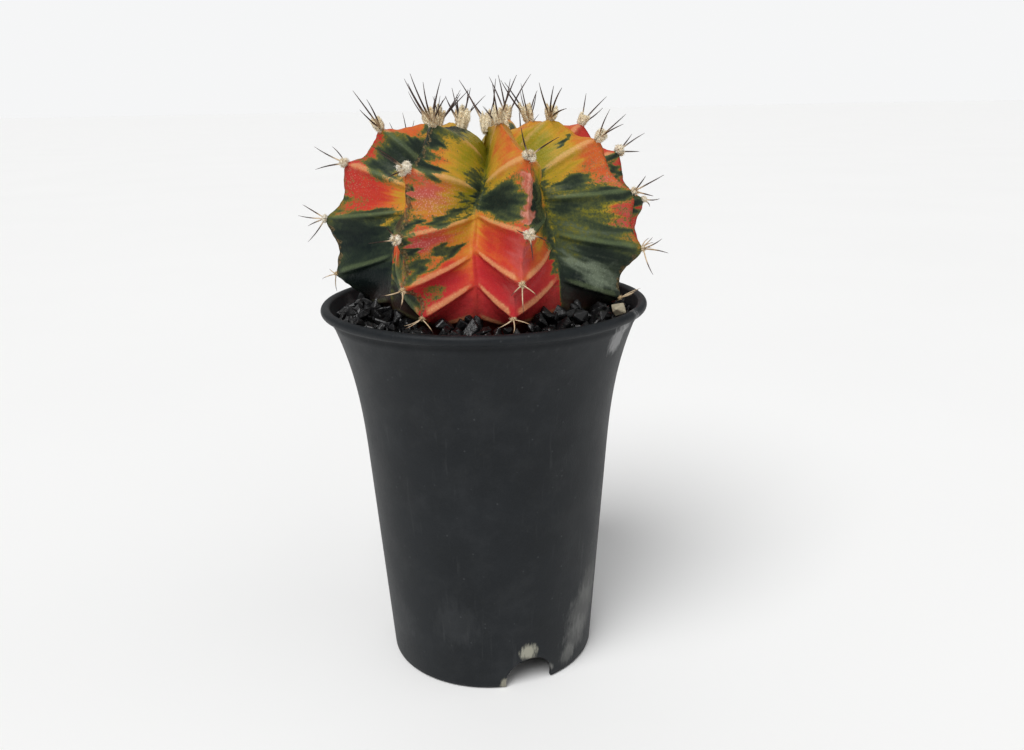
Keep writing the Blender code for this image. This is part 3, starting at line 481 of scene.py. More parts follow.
def tone_fields(index, growth, place):
    """The values of one rib's skin, from its patches, its ridges and the marks on its crest."""
    crest = (1.0 - np.abs(place)) ** 0.8
    old = np.clip((growth - 12.0) / 26.0, 0.0, 1.0)
    low = np.clip((growth - 46.0) / 16.0, 0.0, 1.0)
    fields = {name: np.zeros_like(growth) for name in SKIN_VALUES}
    fields["flush"] = ((0.14 + 0.22 * crest) * (1 - old) + (0.26 + 0.68 * crest) * old
                       + low * (1 - crest) * 0.5)
    torn_growth, torn_place = ragged(growth, place, index)
    for tone, patch_growth, patch_place, half_length, half_breadth, strength in \
            PATCHES[RIBS[index][0]]:
        spread = (np.abs((torn_growth - patch_growth) / half_length) ** PATCH_SQUARENESS
                  + np.abs((torn_place - patch_place) / half_breadth) ** PATCH_SQUARENESS)
        cover = 1.0 / (1.0 + spread ** PATCH_EDGE[tone])
        fields[tone] += (strength - fields[tone]) * cover
    band = np.zeros_like(growth)
    for line in chevron_lines(index):
        breadth = np.interp(line, (36, 56), (0.8, 0.5))
        band = np.maximum(band, 1.0 / (1.0 + (np.abs(growth - line + 0.5) / breadth) ** 3.5))
    edge = np.abs(place)
    band *= np.clip((edge - 0.03) / 0.08, 0, 1) * np.clip((0.96 - edge) / 0.2, 0, 1)
    fields["band"] = band * np.clip(growth / 25.0, 0.0, 1.0)
    fields["crest"] = np.exp(-(edge / 0.07) ** 2)
    # Painted shade: a mask along the young furrows, where the skin is darkened as if shaded.
    fields["crease_shade"] = np.exp(-((1 - edge) / 0.035) ** 2) * np.clip((50 - growth) / 6, 0, 1)
    for kind, start, end, middle, half_breadth in CREST_MARKS.get(RIBS[index][0], ()):
        within = (np.clip((torn_growth - start) / 0.8, 0, 1)
                  * np.clip((end - torn_growth) / 0.8, 0, 1))
        away = np.abs(place + 0.35 * (torn_place - place) - middle) / half_breadth
        fields[kind] = np.maximum(fields[kind], within / (1.0 + away ** 4))
    return fields


def make_stem(material):
    """The ribbed stem and its root as one closed skin, with its tones kept on the vertices."""
    rows = np.concatenate((np.arange(GROWTH_STEP, ROOT_START, GROWTH_STEP),
                           np.arange(ROOT_START, GROWTH_END - 1.0, ROOT_STEP)))
    steps = (np.arange(FLANK_COLUMNS + 1) / FLANK_COLUMNS) ** COLUMN_POWER
    columns, tones, flow = [], [], []
    for index in range(len(RIBS)):
        for side in (-1, 1):
            across = steps[:0:-1] if side < 0 else steps[:-1]
            growth, spread = np.meshgrid(rows, across, indexing="ij")
            columns.append(stem_points(index, side, growth, spread))
            tones.append(tone_fields(index, growth, spread * side))
            flow.append(2 * index + side * spread)
    places = np.concatenate(columns, axis=1)
    count_rows, count_columns = places.shape[:2]
    crown = PLANT_CENTRE + np.array((0, 0, CREST_LINE[0][2]))
    tip = PLANT_CENTRE + np.array((0, 0, CREST_LINE[-1][2]))
    vertices = np.concatenate((places.reshape(-1, 3), (crown, tip))) * MM
    at = np.arange(count_rows * count_columns).reshape(count_rows, count_columns)
    beside = np.roll(at, -1, axis=1)
    quads = np.stack((at[:-1], at[1:], beside[1:], beside[:-1]), axis=-1).reshape(-1, 4)
    top, root = len(vertices) - 2, len(vertices) - 1
    faces = [tuple(q) for q in quads.tolist()]
    faces += [(top, a, b) for a, b in zip(at[0].tolist(), beside[0].tolist())]
    faces += [(root, b, a) for a, b in zip(at[-1].tolist(), beside[-1].tolist())]
    mesh = bpy.data.meshes.new("cactus_stem")
    mesh.from_pydata(vertices.tolist(), [], faces)
    for name in SKIN_VALUES:
        values = np.concatenate([tone[name] for tone in tones], axis=1).reshape(-1)
        values = np.append(values, values[[0, -1]])
        keep_values(mesh, name, values)
        if name == "crest":
            crests = values
    along = np.append(np.repeat(rows, count_columns), (0.0, GROWTH_END))
    keep_values(mesh, "growth", along)
    lay_flow_map(mesh, np.concatenate(flow, axis=1).reshape(-1), along, count_columns)
    roughen(mesh, crests)
    mesh.shade_smooth()
    return object_from_mesh("cactus_stem", mesh, material)


def lay_flow_map(mesh, around, along, count_columns):
    """A UV map in mm: across the flanks in U and along the growth in V, closed at one furrow."""
    corner_vertices = np.zeros(len(mesh.loops), int)
    mesh.loops.foreach_get("vertex_index", corner_vertices)
    around = np.append(around, (around[0], around[-1]))
    across = around[corner_vertices]
    column = corner_vertices % count_columns
    starts = np.zeros(len(mesh.polygons), int)
    sizes = np.zeros(len(mesh.polygons), int)
    mesh.polygons.foreach_get("loop_start", starts)
    mesh.polygons.foreach_get("loop_total", sizes)
    face = np.repeat(np.arange(len(starts)), sizes)
    last_in_face = np.zeros(len(starts), bool)
    np.logical_or.at(last_in_face, face, column == count_columns - 1)
    across = np.where(last_in_face[face] & (column == 0), across + 2 * len(RIBS), across)
    layer = mesh.uv_layers.new(name="flow")
    layer.data.foreach_set("uv", np.stack((across * FLANK_UNIT, along[corner_vertices]),
                                          axis=-1).astype(np.float32).reshape(-1))


def roughen(mesh, crests):
    """Small unevenness of living skin, pushed along the normals, stronger on the crests."""
    pushed = []
    for vertex, normal, crest in zip(mesh.vertices, mesh.vertex_normals, crests.tolist()):
        broad = noise.noise(vertex.co * SKIN_BROAD[0])
        fine = noise.noise(vertex.co * SKIN_FINE[0])
        push = SKIN_BROAD[1] * broad + SKIN_FINE[1] * fine
        push += crest * (CREST_BROAD[1] * noise.noise(vertex.co * CREST_BROAD[0])
                         + CREST_FINE * fine)
        pushed.append(vertex.co + normal.vector * push * MM)
    for vertex, place in zip(mesh.vertices, pushed):
        vertex.co = place


# ---------------------------------------------------------------- areoles
def areole_frames(index):
    """Each areole's place in mm and its axes across the rib, up the rib and outwards."""
    frames = []
    for growth, azimuth, longest in RIBS[index][2]:
        above, place, below = stem_points(
            index, 1, np.array((growth - AREOLE_SPAN, growth, growth + AREOLE_SPAN)), np.zeros(3))
        up = Vector(above - below).normalized()
        across = Vector((0, 0, 1)).cross(Vector(outward(np.array(float(azimuth))))).normalized()
        out = across.cross(up).normalized()
        up = out.cross(across)
        frames.append((Vector(place), across, up, out, growth, longest))
    return frames


# ---------------------------------------------------------------- node helpers
def add_node(tree, kind, inputs=None, **settings):
    """A node with its settings and its inputs, each either a value or another node's output."""
    made = tree.nodes.new(kind)
    for name, value in settings.items():
        setattr(made, name, value)
    for name, value in (inputs or {}).items():
        if isinstance(value, bpy.types.NodeSocket):
            tree.links.new(value, made.inputs[name])
        else:
            made.inputs[name].default_value = value
    return made


def calculate(tree, operation, first, second=0.0, clamp=False):
    """The result of one step of arithmetic, in a material or in a geometry tree."""
    return add_node(tree, "ShaderNodeMath", {0: first, 1: second}, operation=operation,
                    use_clamp=clamp).outputs[0]


def opaque(tone):
    """A plain tone with its alpha; a tone that comes from a node stays as it is."""
    return tone if isinstance(tone, bpy.types.NodeSocket) else (*tone, 1.0)


def mix_tones(tree, share, first, second, blend="MIX"):
    """The first tone, blended with this share of the second."""
    return add_node(tree, "ShaderNodeMix", {0: share, 6: opaque(first), 7: opaque(second)},
                    data_type="RGBA", blend_type=blend).outputs[2]


def soft_step(tree, value, low, high):
    """0 below the low value and 1 above the high one, with a smooth change between."""
    return add_node(tree, "ShaderNodeMapRange", {0: value, 1: low, 2: high},
                    interpolation_type="SMOOTHSTEP").outputs[0]


def tone_ramp(tree, value, stops):
    """A tone that runs through the stops as the value rises."""
    ramp = add_node(tree, "ShaderNodeValToRGB", {0: value})
    elements = ramp.color_ramp.elements
    while len(elements) < len(stops):
        elements.new(0.5)
    for element, (place, tone) in zip(elements, stops):
        element.position = place
        element.color = opaque(tone)
    return ramp.outputs[0]


def grain(tree, place, fineness, detail=3.0, roughness=0.5):
    """Cloudy noise from 0 to 1; the finer it is, the smaller its clouds."""
    return add_node(tree, "ShaderNodeTexNoise", {"Vector": place, "Scale": fineness,
                                                 "Detail": detail, "Roughness": roughness}
                    ).outputs[0]


def kept(tree, name):
    """A value that keep_values stored on the piece."""
    return add_node(tree, "ShaderNodeAttribute", attribute_name=name).outputs["Fac"]


def open_group(name, inputs, outputs):
    """A shader node group with named sockets; returns its tree, inputs and output node."""
    group = bpy.data.node_groups.new(name, "ShaderNodeTree")
    for label, kind, value in inputs:
        socket = group.interface.new_socket(label, in_out="INPUT", socket_type=kind)
        if value is not None:
            socket.default_value = value
    for label, kind in outputs:
        group.interface.new_socket(label, in_out="OUTPUT", socket_type=kind)
    entry = group.nodes.new("NodeGroupInput")
    leave = group.nodes.new("NodeGroupOutput")
    return group, entry.outputs, leave


def use_group(tree, group, inputs):
    """Place a shared effect in a material; returns its outputs."""
    return add_node(tree, "ShaderNodeGroup", inputs, node_tree=group).outputs


def new_finish(name, **constants):
    """A material whose constant values sit on the shader's own sockets."""
    finish = bpy.data.materials.new(name)
    finish.use_nodes = True
    tree = finish.node_tree
    shader = tree.nodes["Principled BSDF"]
    for label, value in constants.items():
        shader.inputs[label.replace("_", " ").title().replace("Ior", "IOR")].default_value = value
    place = tree.nodes.new("ShaderNodeTexCoord").outputs["Object"]
    return finish, tree, shader, place


def add_relief(tree, shader, height, depth):
    """Fine relief of this depth in metres, for the light only."""
    bump = add_node(tree, "ShaderNodeBump", {"Height": height, "Distance": depth,
                                             "Strength": 1.0})
    tree.links.new(bump.outputs[0], shader.inputs["Normal"])


# ---------------------------------------------------------------- effects that finishes share
def build_fine_grain():
    """Two sizes of grain: a height for relief, and a shade from 0 to 1 for tone and gloss."""
    group, given, leave = open_group(
        "fine_grain",
        (("Place", "NodeSocketVector", None), ("Fineness", "NodeSocketFloat", 1500.0),
         ("Patchiness", "NodeSocketFloat", 150.0), ("Grit", "NodeSocketFloat", 0.5)),
        (("Height", "NodeSocketFloat"), ("Shade", "NodeSocketFloat")))
    fine = grain(group, given["Place"], given["Fineness"], 4.0, 0.6)
    broad = grain(group, given["Place"], given["Patchiness"], 3.0, 0.55)
    gritty = calculate(group, "MULTIPLY", fine, given["Grit"])
    group.links.new(calculate(group, "ADD", gritty, broad), leave.inputs["Height"])
    shade = calculate(group, "ADD", calculate(group, "MULTIPLY", fine, 0.5),
                      calculate(group, "MULTIPLY", broad, 0.5))
    group.links.new(soft_step(group, shade, 0.3, 0.7), leave.inputs["Shade"])
    return group


def grained(tree, fine_grain, place, fineness, patchiness, grit):
    """The shared grain, with a finish's own fineness, patchiness and grit."""
    return use_group(tree, fine_grain, {"Place": place, "Fineness": fineness,
                                        "Patchiness": patchiness, "Grit": grit})


def build_dust():
    """Scattered specks and a thin film of dust over a tone; also puts out where it lies."""
    group, given, leave = open_group(
        "dust",
        (("Place", "NodeSocketVector", None), ("Tone", "NodeSocketColor", None),
         ("Dust Tone", "NodeSocketColor", (0.45, 0.43, 0.38, 1.0)),
         ("Fineness", "NodeSocketFloat", 900.0), ("Specks", "NodeSocketFloat", 0.3),
         ("Film", "NodeSocketFloat", 0.1)),
        (("Tone", "NodeSocketColor"), ("Cover", "NodeSocketFloat")))
    cells = add_node(group, "ShaderNodeTexVoronoi", {"Vector": given["Place"],
                                                     "Scale": given["Fineness"]})
    chosen = add_node(group, "ShaderNodeSeparateColor", {0: cells.outputs["Color"]}).outputs[0]
    rare = soft_step(group, chosen, 0.93, 0.97)
    dot = calculate(group, "SUBTRACT", 1.0, soft_step(group, cells.outputs["Distance"], 0.1, 0.28))
    specks = calculate(group, "MULTIPLY", calculate(group, "MULTIPLY", rare, dot),
                       given["Specks"])
    cloud = soft_step(group, grain(group, given["Place"], 120.0, 5.0, 0.65), 0.42, 0.75)
    film = calculate(group, "MULTIPLY", cloud, given["Film"])
    cover = calculate(group, "ADD", specks, film, clamp=True)
    group.links.new(mix_tones(group, cover, given["Tone"], given["Dust Tone"]),
                    leave.inputs["Tone"])
    group.links.new(cover, leave.inputs["Cover"])
    return group


def build_smear():
    """A ragged patch around one point: 1 in its middle, broken up towards its edge."""
    group, given, leave = open_group(
        "smear",
        (("Place", "NodeSocketVector", None), ("Middle", "NodeSocketVector", None),
         ("Radius", "NodeSocketFloat", 0.01), ("Fineness", "NodeSocketFloat", 400.0),
         ("Raggedness", "NodeSocketFloat", 0.8)),
        (("Cover", "NodeSocketFloat"),))
    away = add_node(group, "ShaderNodeVectorMath", {0: given["Place"], 1: given["Middle"]},
                    operation="DISTANCE").outputs["Value"]
    near = calculate(group, "SUBTRACT", 1.0, calculate(group, "DIVIDE", away, given["Radius"]))
    upright = add_node(group, "ShaderNodeMapping", {"Vector": given["Place"],
                                                    "Scale": (1.0, 1.0, 0.3)}).outputs[0]
    broken = calculate(group, "SUBTRACT", grain(group, upright, given["Fineness"], 6.0, 0.7),
                       0.5)
    edge = calculate(group, "ADD", near, calculate(group, "MULTIPLY", broken,
                                                   given["Raggedness"]))
    group.links.new(soft_step(group, edge, 0.1, 0.6), leave.inputs["Cover"])
    return group


# ---------------------------------------------------------------- finishes
YOUNG_WOOL = (0.12, 0.13)           # heights in m between which the wool turns warmer
OLD_WOOL = (0.098, 0.105)           # and below which, by degrees, it is weathered to tan
SOIL_AND_SHADE_GROWTH = (65.0, 78.0)          # growth lengths between which the skin darkens, partly soil and partly painted shade


def finish_skin():
    """Waxy skin: yellow-green to crimson flushes, ragged dark green patches, pale ridges."""
    finish, tree, shader, place = new_finish("variegated_skin", coat_weight=0.03,
                                             coat_roughness=0.2, specular_ior_level=0.05)

    def plus(*terms):
        total = terms[0]
        for term in terms[1:]:
            total = calculate(tree, "ADD", total, term)
        return total

    def times(value, factor):
        return calculate(tree, "MULTIPLY", value, factor)

    def centred(value):
        return calculate(tree, "SUBTRACT", value, 0.5)

    flow = add_node(tree, "ShaderNodeUVMap", uv_map="flow").outputs[0]
    finer = centred(grain(tree, place, 2500.0, 3.0, 0.6))
    fine = centred(grain(tree, place, 1000.0, 4.0, 0.6))
    cloud = centred(grain(tree, place, 260.0, 3.0, 0.5))
    along = add_node(tree, "ShaderNodeMapping", {"Vector": flow, "Scale": (0.16, 1.0, 1.0)})
    streak = centred(grain(tree, along.outputs[0], 0.9, 3.0, 0.55))
    dots = add_node(tree, "ShaderNodeTexVoronoi", {"Vector": place, "Scale": 2400.0})
    dot = calculate(tree, "SUBTRACT", 1.0, soft_step(tree, dots.outputs["Distance"], 0.1, 0.5))

    pigment = kept(tree, "green")
    stray = plus(times(streak, 0.2), times(fine, 0.8), times(finer, 0.65), times(cloud, 0.3),
                 times(dot, 0.24), -0.09)
    calm = plus(1.0, times(soft_step(tree, pigment, 0.4, 0.75), -0.7))
    near = soft_step(tree, pigment, 0.03, 0.2)
    green = plus(pigment, times(times(stray, calm), near))
    halo = soft_step(tree, green, 0.2, 0.48)
    flush = plus(kept(tree, "flush"), times(cloud, 0.3), times(streak, 0.28), times(finer, 0.14))
    warm = tone_ramp(tree, flush, FLUSH_TONES)
    blush = soft_step(tree, plus(flush, times(streak, -0.5), times(fine, 0.3)), 0.62, 1.0)
    warm = mix_tones(tree, times(blush, 0.35), warm, (0.44, 0.03, 0.045))
    # A pink bloom; on the front rib's crest it also stands in for a painted highlight.
    rose_and_highlight = plus(kept(tree, "rose_and_highlight"), times(streak, 0.4), times(fine, 0.5))
    warm = mix_tones(tree, times(soft_step(tree, rose_and_highlight, 0.1, 1.0), 0.8), warm, (0.5, 0.1, 0.09))
    warm = mix_tones(tree, times(halo, 0.7), warm, (0.16, 0.165, 0.035))
    speckled = plus(times(kept(tree, "stipple"), 0.42), 0.025)
    warm = mix_tones(tree, calculate(tree, "MULTIPLY", dot, speckled, clamp=True), warm,
                     (0.82, 0.42, 0.36))

    band = soft_step(tree, plus(kept(tree, "band"), times(fine, 0.8), times(finer, 0.6)),
                     0.12, 1.0)
    banded = times(band, plus(times(dot, 0.3), 0.48))
    warm = mix_tones(tree, banded, warm, (0.72, 0.41, 0.18))

    mottle = plus(times(fine, 0.24), times(dot, -0.05))
    dark = tone_ramp(tree, plus(times(green, 0.66), mottle), GREEN_TONES)
    dark = mix_tones(tree, times(banded, 0.6), dark, (0.17, 0.22, 0.1))
    skin = mix_tones(tree, soft_step(tree, green, 0.34, 0.56), warm, dark)
    # A grey-green bloom, partly a painted sheen on the right rib's lower flank.
    bloom_and_sheen = soft_step(tree, plus(kept(tree, "bloom_and_sheen"), times(fine, 0.8), times(streak, 0.6)),
                      0.1, 1.0)
    skin = mix_tones(tree, times(bloom_and_sheen, plus(times(dot, 0.3), 0.6)), skin, (0.25, 0.3, 0.21))

    callus = soft_step(tree, plus(kept(tree, "callus"), times(fine, 0.8)), 0.22, 0.7)
    scar = mix_tones(tree, soft_step(tree, plus(cloud, fine), -0.12, 0.16),
                     (0.46, 0.12, 0.08), (0.62, 0.26, 0.2))
    skin = mix_tones(tree, times(callus, 0.85), skin, scar)
    seam = soft_step(tree, plus(kept(tree, "seam"), times(fine, 0.9)), 0.35, 0.6)
    bark = mix_tones(tree, soft_step(tree, finer, -0.1, 0.15), (0.05, 0.04, 0.02),
                     (0.2, 0.14, 0.07))
    skin = mix_tones(tree, times(seam, 0.8), skin, bark)
    # Painted shade darkens the skin in the young furrows, which are also made rougher there.
    crease_shade = kept(tree, "crease_shade")
    skin = mix_tones(tree, times(crease_shade, 0.6), skin, (0.03, 0.035, 0.008))
    # Soil and painted shade: the skin darkens from where it meets the stones down to the root.
    soil_and_shade = soft_step(tree, plus(kept(tree, "growth"), times(fine, 6.0)), *SOIL_AND_SHADE_GROWTH)
    skin = mix_tones(tree, times(soil_and_shade, 0.85), skin, (0.04, 0.012, 0.008))
    tree.links.new(skin, shader.inputs["Base Color"])
    rough = plus(0.3, times(fine, 0.25), times(callus, 0.15), times(seam, 0.3),
                 times(crease_shade, 0.5))
    tree.links.new(rough, shader.inputs["Roughness"])
    pebbles = plus(dots.outputs["Distance"], times(fine, 1.8))
    add_relief(tree, shader, times(pebbles, -1.0), 0.00005)
    return finish


def finish_wool(fine_grain):
    """Cream felt, warmer in its hollows and at the crown, and weathered to tan low down."""
    finish, tree, shader, place = new_finish("areole_wool", roughness=0.95, sheen_weight=0.4,
                                             sheen_roughness=0.5)
    grains = grained(tree, fine_grain, place, 2200.0, 420.0, 0.8)
    tone = tone_ramp(tree, grains["Shade"], ((0.05, (0.62, 0.45, 0.26)), (0.35, (0.92, 0.81, 0.61)),
                                            (0.8, (0.98, 0.93, 0.81))))
    height = add_node(tree, "ShaderNodeSeparateXYZ", {0: place}).outputs[2]
    young = mix_tones(tree, soft_step(tree, height, *YOUNG_WOOL), (1.0, 1.0, 1.0),
                      (1.0, 0.95, 0.82))
    age = mix_tones(tree, soft_step(tree, height, *OLD_WOOL), (0.74, 0.6, 0.4), young)
    tone = mix_tones(tree, 1.0, tone, age, "MULTIPLY")
    tree.links.new(tone, shader.inputs["Base Color"])
    add_relief(tree, shader, grains["Height"], 0.0001)
    return finish


def finish_spines(fine_grain):
    """Woody spines: pale at the base, and on young growth dark brown to black above it."""
    finish, tree, shader, place = new_finish("spine_horn", roughness=0.5)
    reach = kept(tree, "reach")
    grains = grained(tree, fine_grain, place, 1600.0, 300.0, 0.5)
    pale = mix_tones(tree, grains["Shade"], (0.46, 0.31, 0.17), (0.74, 0.6, 0.41))
    dark = mix_tones(tree, grains["Shade"], (0.012, 0.008, 0.007), (0.07, 0.03, 0.018))
    turn = calculate(tree, "ADD", calculate(tree, "MULTIPLY", kept(tree, "dark"), -0.75), 1.0)
    change = calculate(tree, "SUBTRACT", reach, turn)
    change = calculate(tree, "ADD", change, calculate(tree, "MULTIPLY", grains["Shade"], 0.12))
    tone = mix_tones(tree, soft_step(tree, change, -0.12, 0.16), pale, dark)
    tree.links.new(tone, shader.inputs["Base Color"])
    add_relief(tree, shader, grains["Height"], 0.00003)
    return finish


def finish_stone(name, low, high, gloss, dust, fine_grain, specks, film):
    """Broken stone: grainy faces with a little dust in the same manner on dark and pale."""
    finish, tree, shader, place = new_finish(name, specular_ior_level=0.4)
    grains = grained(tree, fine_grain, place, 1400.0, 260.0, 0.6)
    tone = mix_tones(tree, grains["Shade"], low, high)
    dusty = use_group(tree, dust, {"Place": place, "Tone": tone, "Fineness": 800.0,
                                   "Specks": specks, "Film": film,
                                   "Dust Tone": (0.24, 0.22, 0.2, 1.0)})
    tree.links.new(dusty["Tone"], shader.inputs["Base Color"])
    rough = calculate(tree, "ADD", gloss, calculate(tree, "MULTIPLY", grains["Shade"], 0.25))
    rough = calculate(tree, "ADD", rough, calculate(tree, "MULTIPLY", dusty["Cover"], 0.5),
                      clamp=True)
    tree.links.new(rough, shader.inputs["Roughness"])
    add_relief(tree, shader, grains["Height"], 0.00025)
    return finish


def finish_pot(dust, fine_grain, smear):
    """Charcoal plastic with a fine moulded grain, chalky scuffs and lime at the drain notch."""
    finish, tree, shader, place = new_finish("pot_plastic", specular_ior_level=0.24)
    grains = grained(tree, fine_grain, place, 2600.0, 90.0, 0.5)
    tone = mix_tones(tree, grains["Shade"], (0.0038, 0.0056, 0.0073), (0.009, 0.0114, 0.014))
    dusty = use_group(tree, dust, {"Place": place, "Tone": tone, "Fineness": 900.0,
                                   "Specks": 0.06, "Film": 0.02,
                                   "Dust Tone": (0.36, 0.37, 0.38, 1.0)})
    tone, cover = dusty["Tone"], dusty["Cover"]
    for azimuth, height, radius, fineness, amount, chalk in SCUFFS:
        middle = outward(np.array(float(azimuth))) * pot_radius(height)
        patch = use_group(tree, smear, {"Place": place, "Radius": radius * MM,
                                        "Middle": (middle[0] * MM, middle[1] * MM, height * MM),
                                        "Fineness": fineness, "Raggedness": 1.3})
        share = calculate(tree, "MULTIPLY", patch["Cover"], amount)
        tone = mix_tones(tree, share, tone, chalk)
        cover = calculate(tree, "MAXIMUM", cover, share)
    upright = add_node(tree, "ShaderNodeMapping", {"Vector": place, "Scale": (1.0, 1.0, 0.06)})
    scratches = soft_step(tree, grain(tree, upright.outputs[0], 900.0, 2.0, 0.5), 0.62, 0.78)
    tone = mix_tones(tree, calculate(tree, "MULTIPLY", scratches, 0.02), tone, (0.4, 0.4, 0.4))
    tree.links.new(tone, shader.inputs["Base Color"])
    rough = calculate(tree, "ADD", 0.46, calculate(tree, "MULTIPLY", grains["Shade"], 0.12))
    rough = calculate(tree, "ADD", rough, calculate(tree, "MULTIPLY", cover, 0.4), clamp=True)
    tree.links.new(rough, shader.inputs["Roughness"])
    add_relief(tree, shader, grains["Height"], 0.0001)
    return finish


def finish_mix(fine_grain):
    """Dark, damp potting mix with paler crumbs."""
    finish, tree, shader, place = new_finish("damp_mix", roughness=0.9)
    grains = grained(tree, fine_grain, place, 900.0, 300.0, 1.0)
    tone = tone_ramp(tree, grains["Shade"], ((0.2, (0.012, 0.008, 0.005)),
                                            (0.6, (0.05, 0.03, 0.018)), (0.9, (0.16, 0.1, 0.06))))
    tree.links.new(tone, shader.inputs["Base Color"])
    add_relief(tree, shader, grains["Height"], 0.0008)
    return finish


def finish_floor():
    """A plain pale floor."""
    finish, tree, shader, place = new_finish("pale_floor", roughness=0.8)
    tone = mix_tones(tree, grain(tree, place, 6.0), (0.91, 0.91, 0.905), (0.94, 0.94, 0.935))
    tree.links.new(tone, shader.inputs["Base Color"])
    return finish


# ---------------------------------------------------------------- geometry node helpers
def open_nodes(name, inputs):
    """A geometry node tree with named inputs; returns it, its inputs and its output node."""
    tree = bpy.data.node_groups.new(name, "GeometryNodeTree")
    tree.interface.new_socket("Geometry", in_out="INPUT", socket_type="NodeSocketGeometry")
    for label, kind, value in inputs:
        socket = tree.interface.new_socket(label, in_out="INPUT", socket_type=kind)
        if value is not None:
            socket.default_value = value
    tree.interface.new_socket("Geometry", in_out="OUTPUT", socket_type="NodeSocketGeometry")
    entry = tree.nodes.new("NodeGroupInput")
    leave = tree.nodes.new("NodeGroupOutput")
    return tree, entry.outputs, leave


def grow(made, tree, values):
    """Run a geometry node tree on an object with the given inputs and keep the plain mesh."""
    modifier = made.modifiers.new(tree.name, "NODES")
    modifier.node_group = tree
    for socket in tree.interface.items_tree:
        if socket.in_out == "INPUT" and socket.name in values:
            modifier[socket.identifier] = values[socket.name]
    return applied(made)


def close_nodes(tree, geometry, material, leave):
    """End a tree with plain faces that have their finish and are shaded smooth."""
    solid = add_node(tree, "GeometryNodeRealizeInstances", {0: geometry}).outputs[0]
    coated = add_node(tree, "GeometryNodeSetMaterial", {"Geometry": solid, "Material": material})
    smooth = add_node(tree, "GeometryNodeSetShadeSmooth", {0: coated.outputs[0]})
    tree.links.new(smooth.outputs[0], leave.inputs[0])


def build_felt():
    """Short curled fibres all over a cushion, leaning every way."""
    tree, given, leave = open_nodes("felt_fibres", (
        ("Fibres", "NodeSocketFloat", 5.4e7), ("Fibre Length", "NodeSocketFloat", 0.00042),
        ("Fibre Radius", "NodeSocketFloat", 0.000048), ("Curl", "NodeSocketFloat", 0.0003),
        ("Least Lean", "NodeSocketFloat", 0.8), ("Most Lean", "NodeSocketFloat", 1.5),
        ("Seed", "NodeSocketInt", 1),
        ("Finish", "NodeSocketMaterial", None)))
    fibre = add_node(tree, "GeometryNodeMeshCone", {
        "Vertices": 3, "Side Segments": 2, "Fill Segments": 1, "Radius Top": 0.0,
        "Radius Bottom": given["Fibre Radius"], "Depth": given["Fibre Length"]}).outputs[0]
    height = add_node(tree, "ShaderNodeSeparateXYZ", {
        0: add_node(tree, "GeometryNodeInputPosition").outputs[0]}).outputs[2]
    share = calculate(tree, "DIVIDE", height, given["Fibre Length"])
    swing = calculate(tree, "MULTIPLY", calculate(tree, "MULTIPLY", share, share), given["Curl"])
    aside = add_node(tree, "ShaderNodeCombineXYZ", {0: swing}).outputs[0]
    curled = add_node(tree, "GeometryNodeSetPosition", {"Geometry": fibre, "Offset": aside})
    spread = add_node(tree, "GeometryNodeDistributePointsOnFaces", {
        "Mesh": given["Geometry"], "Density": given["Fibres"], "Seed": given["Seed"]})
    least = add_node(tree, "ShaderNodeCombineXYZ", {0: given["Least Lean"], 2: -math.pi})
    most = add_node(tree, "ShaderNodeCombineXYZ", {0: given["Most Lean"], 2: math.pi})
    angles = add_node(tree, "FunctionNodeRandomValue", {
        0: least.outputs[0], 1: most.outputs[0], "Seed": given["Seed"]},
        data_type="FLOAT_VECTOR").outputs[0]
    turn = add_node(tree, "FunctionNodeEulerToRotation", {0: angles}).outputs[0]
    aimed = add_node(tree, "FunctionNodeRotateRotation", {
        0: spread.outputs["Rotation"], 1: turn}, rotation_space="LOCAL").outputs[0]
    sizes = add_node(tree, "FunctionNodeRandomValue", {2: 0.55, 3: 1.25}).outputs[1]
    placed = add_node(tree, "GeometryNodeInstanceOnPoints", {
        "Points": spread.outputs[0], "Instance": curled.outputs[0], "Rotation": aimed,
        "Scale": sizes}).outputs[0]
    joined = tree.nodes.new("GeometryNodeJoinGeometry")
    tree.links.new(placed, joined.inputs[0])
    tree.links.new(given["Geometry"], joined.inputs[0])
    close_nodes(tree, joined.outputs[0], given["Finish"], leave)
    return tree


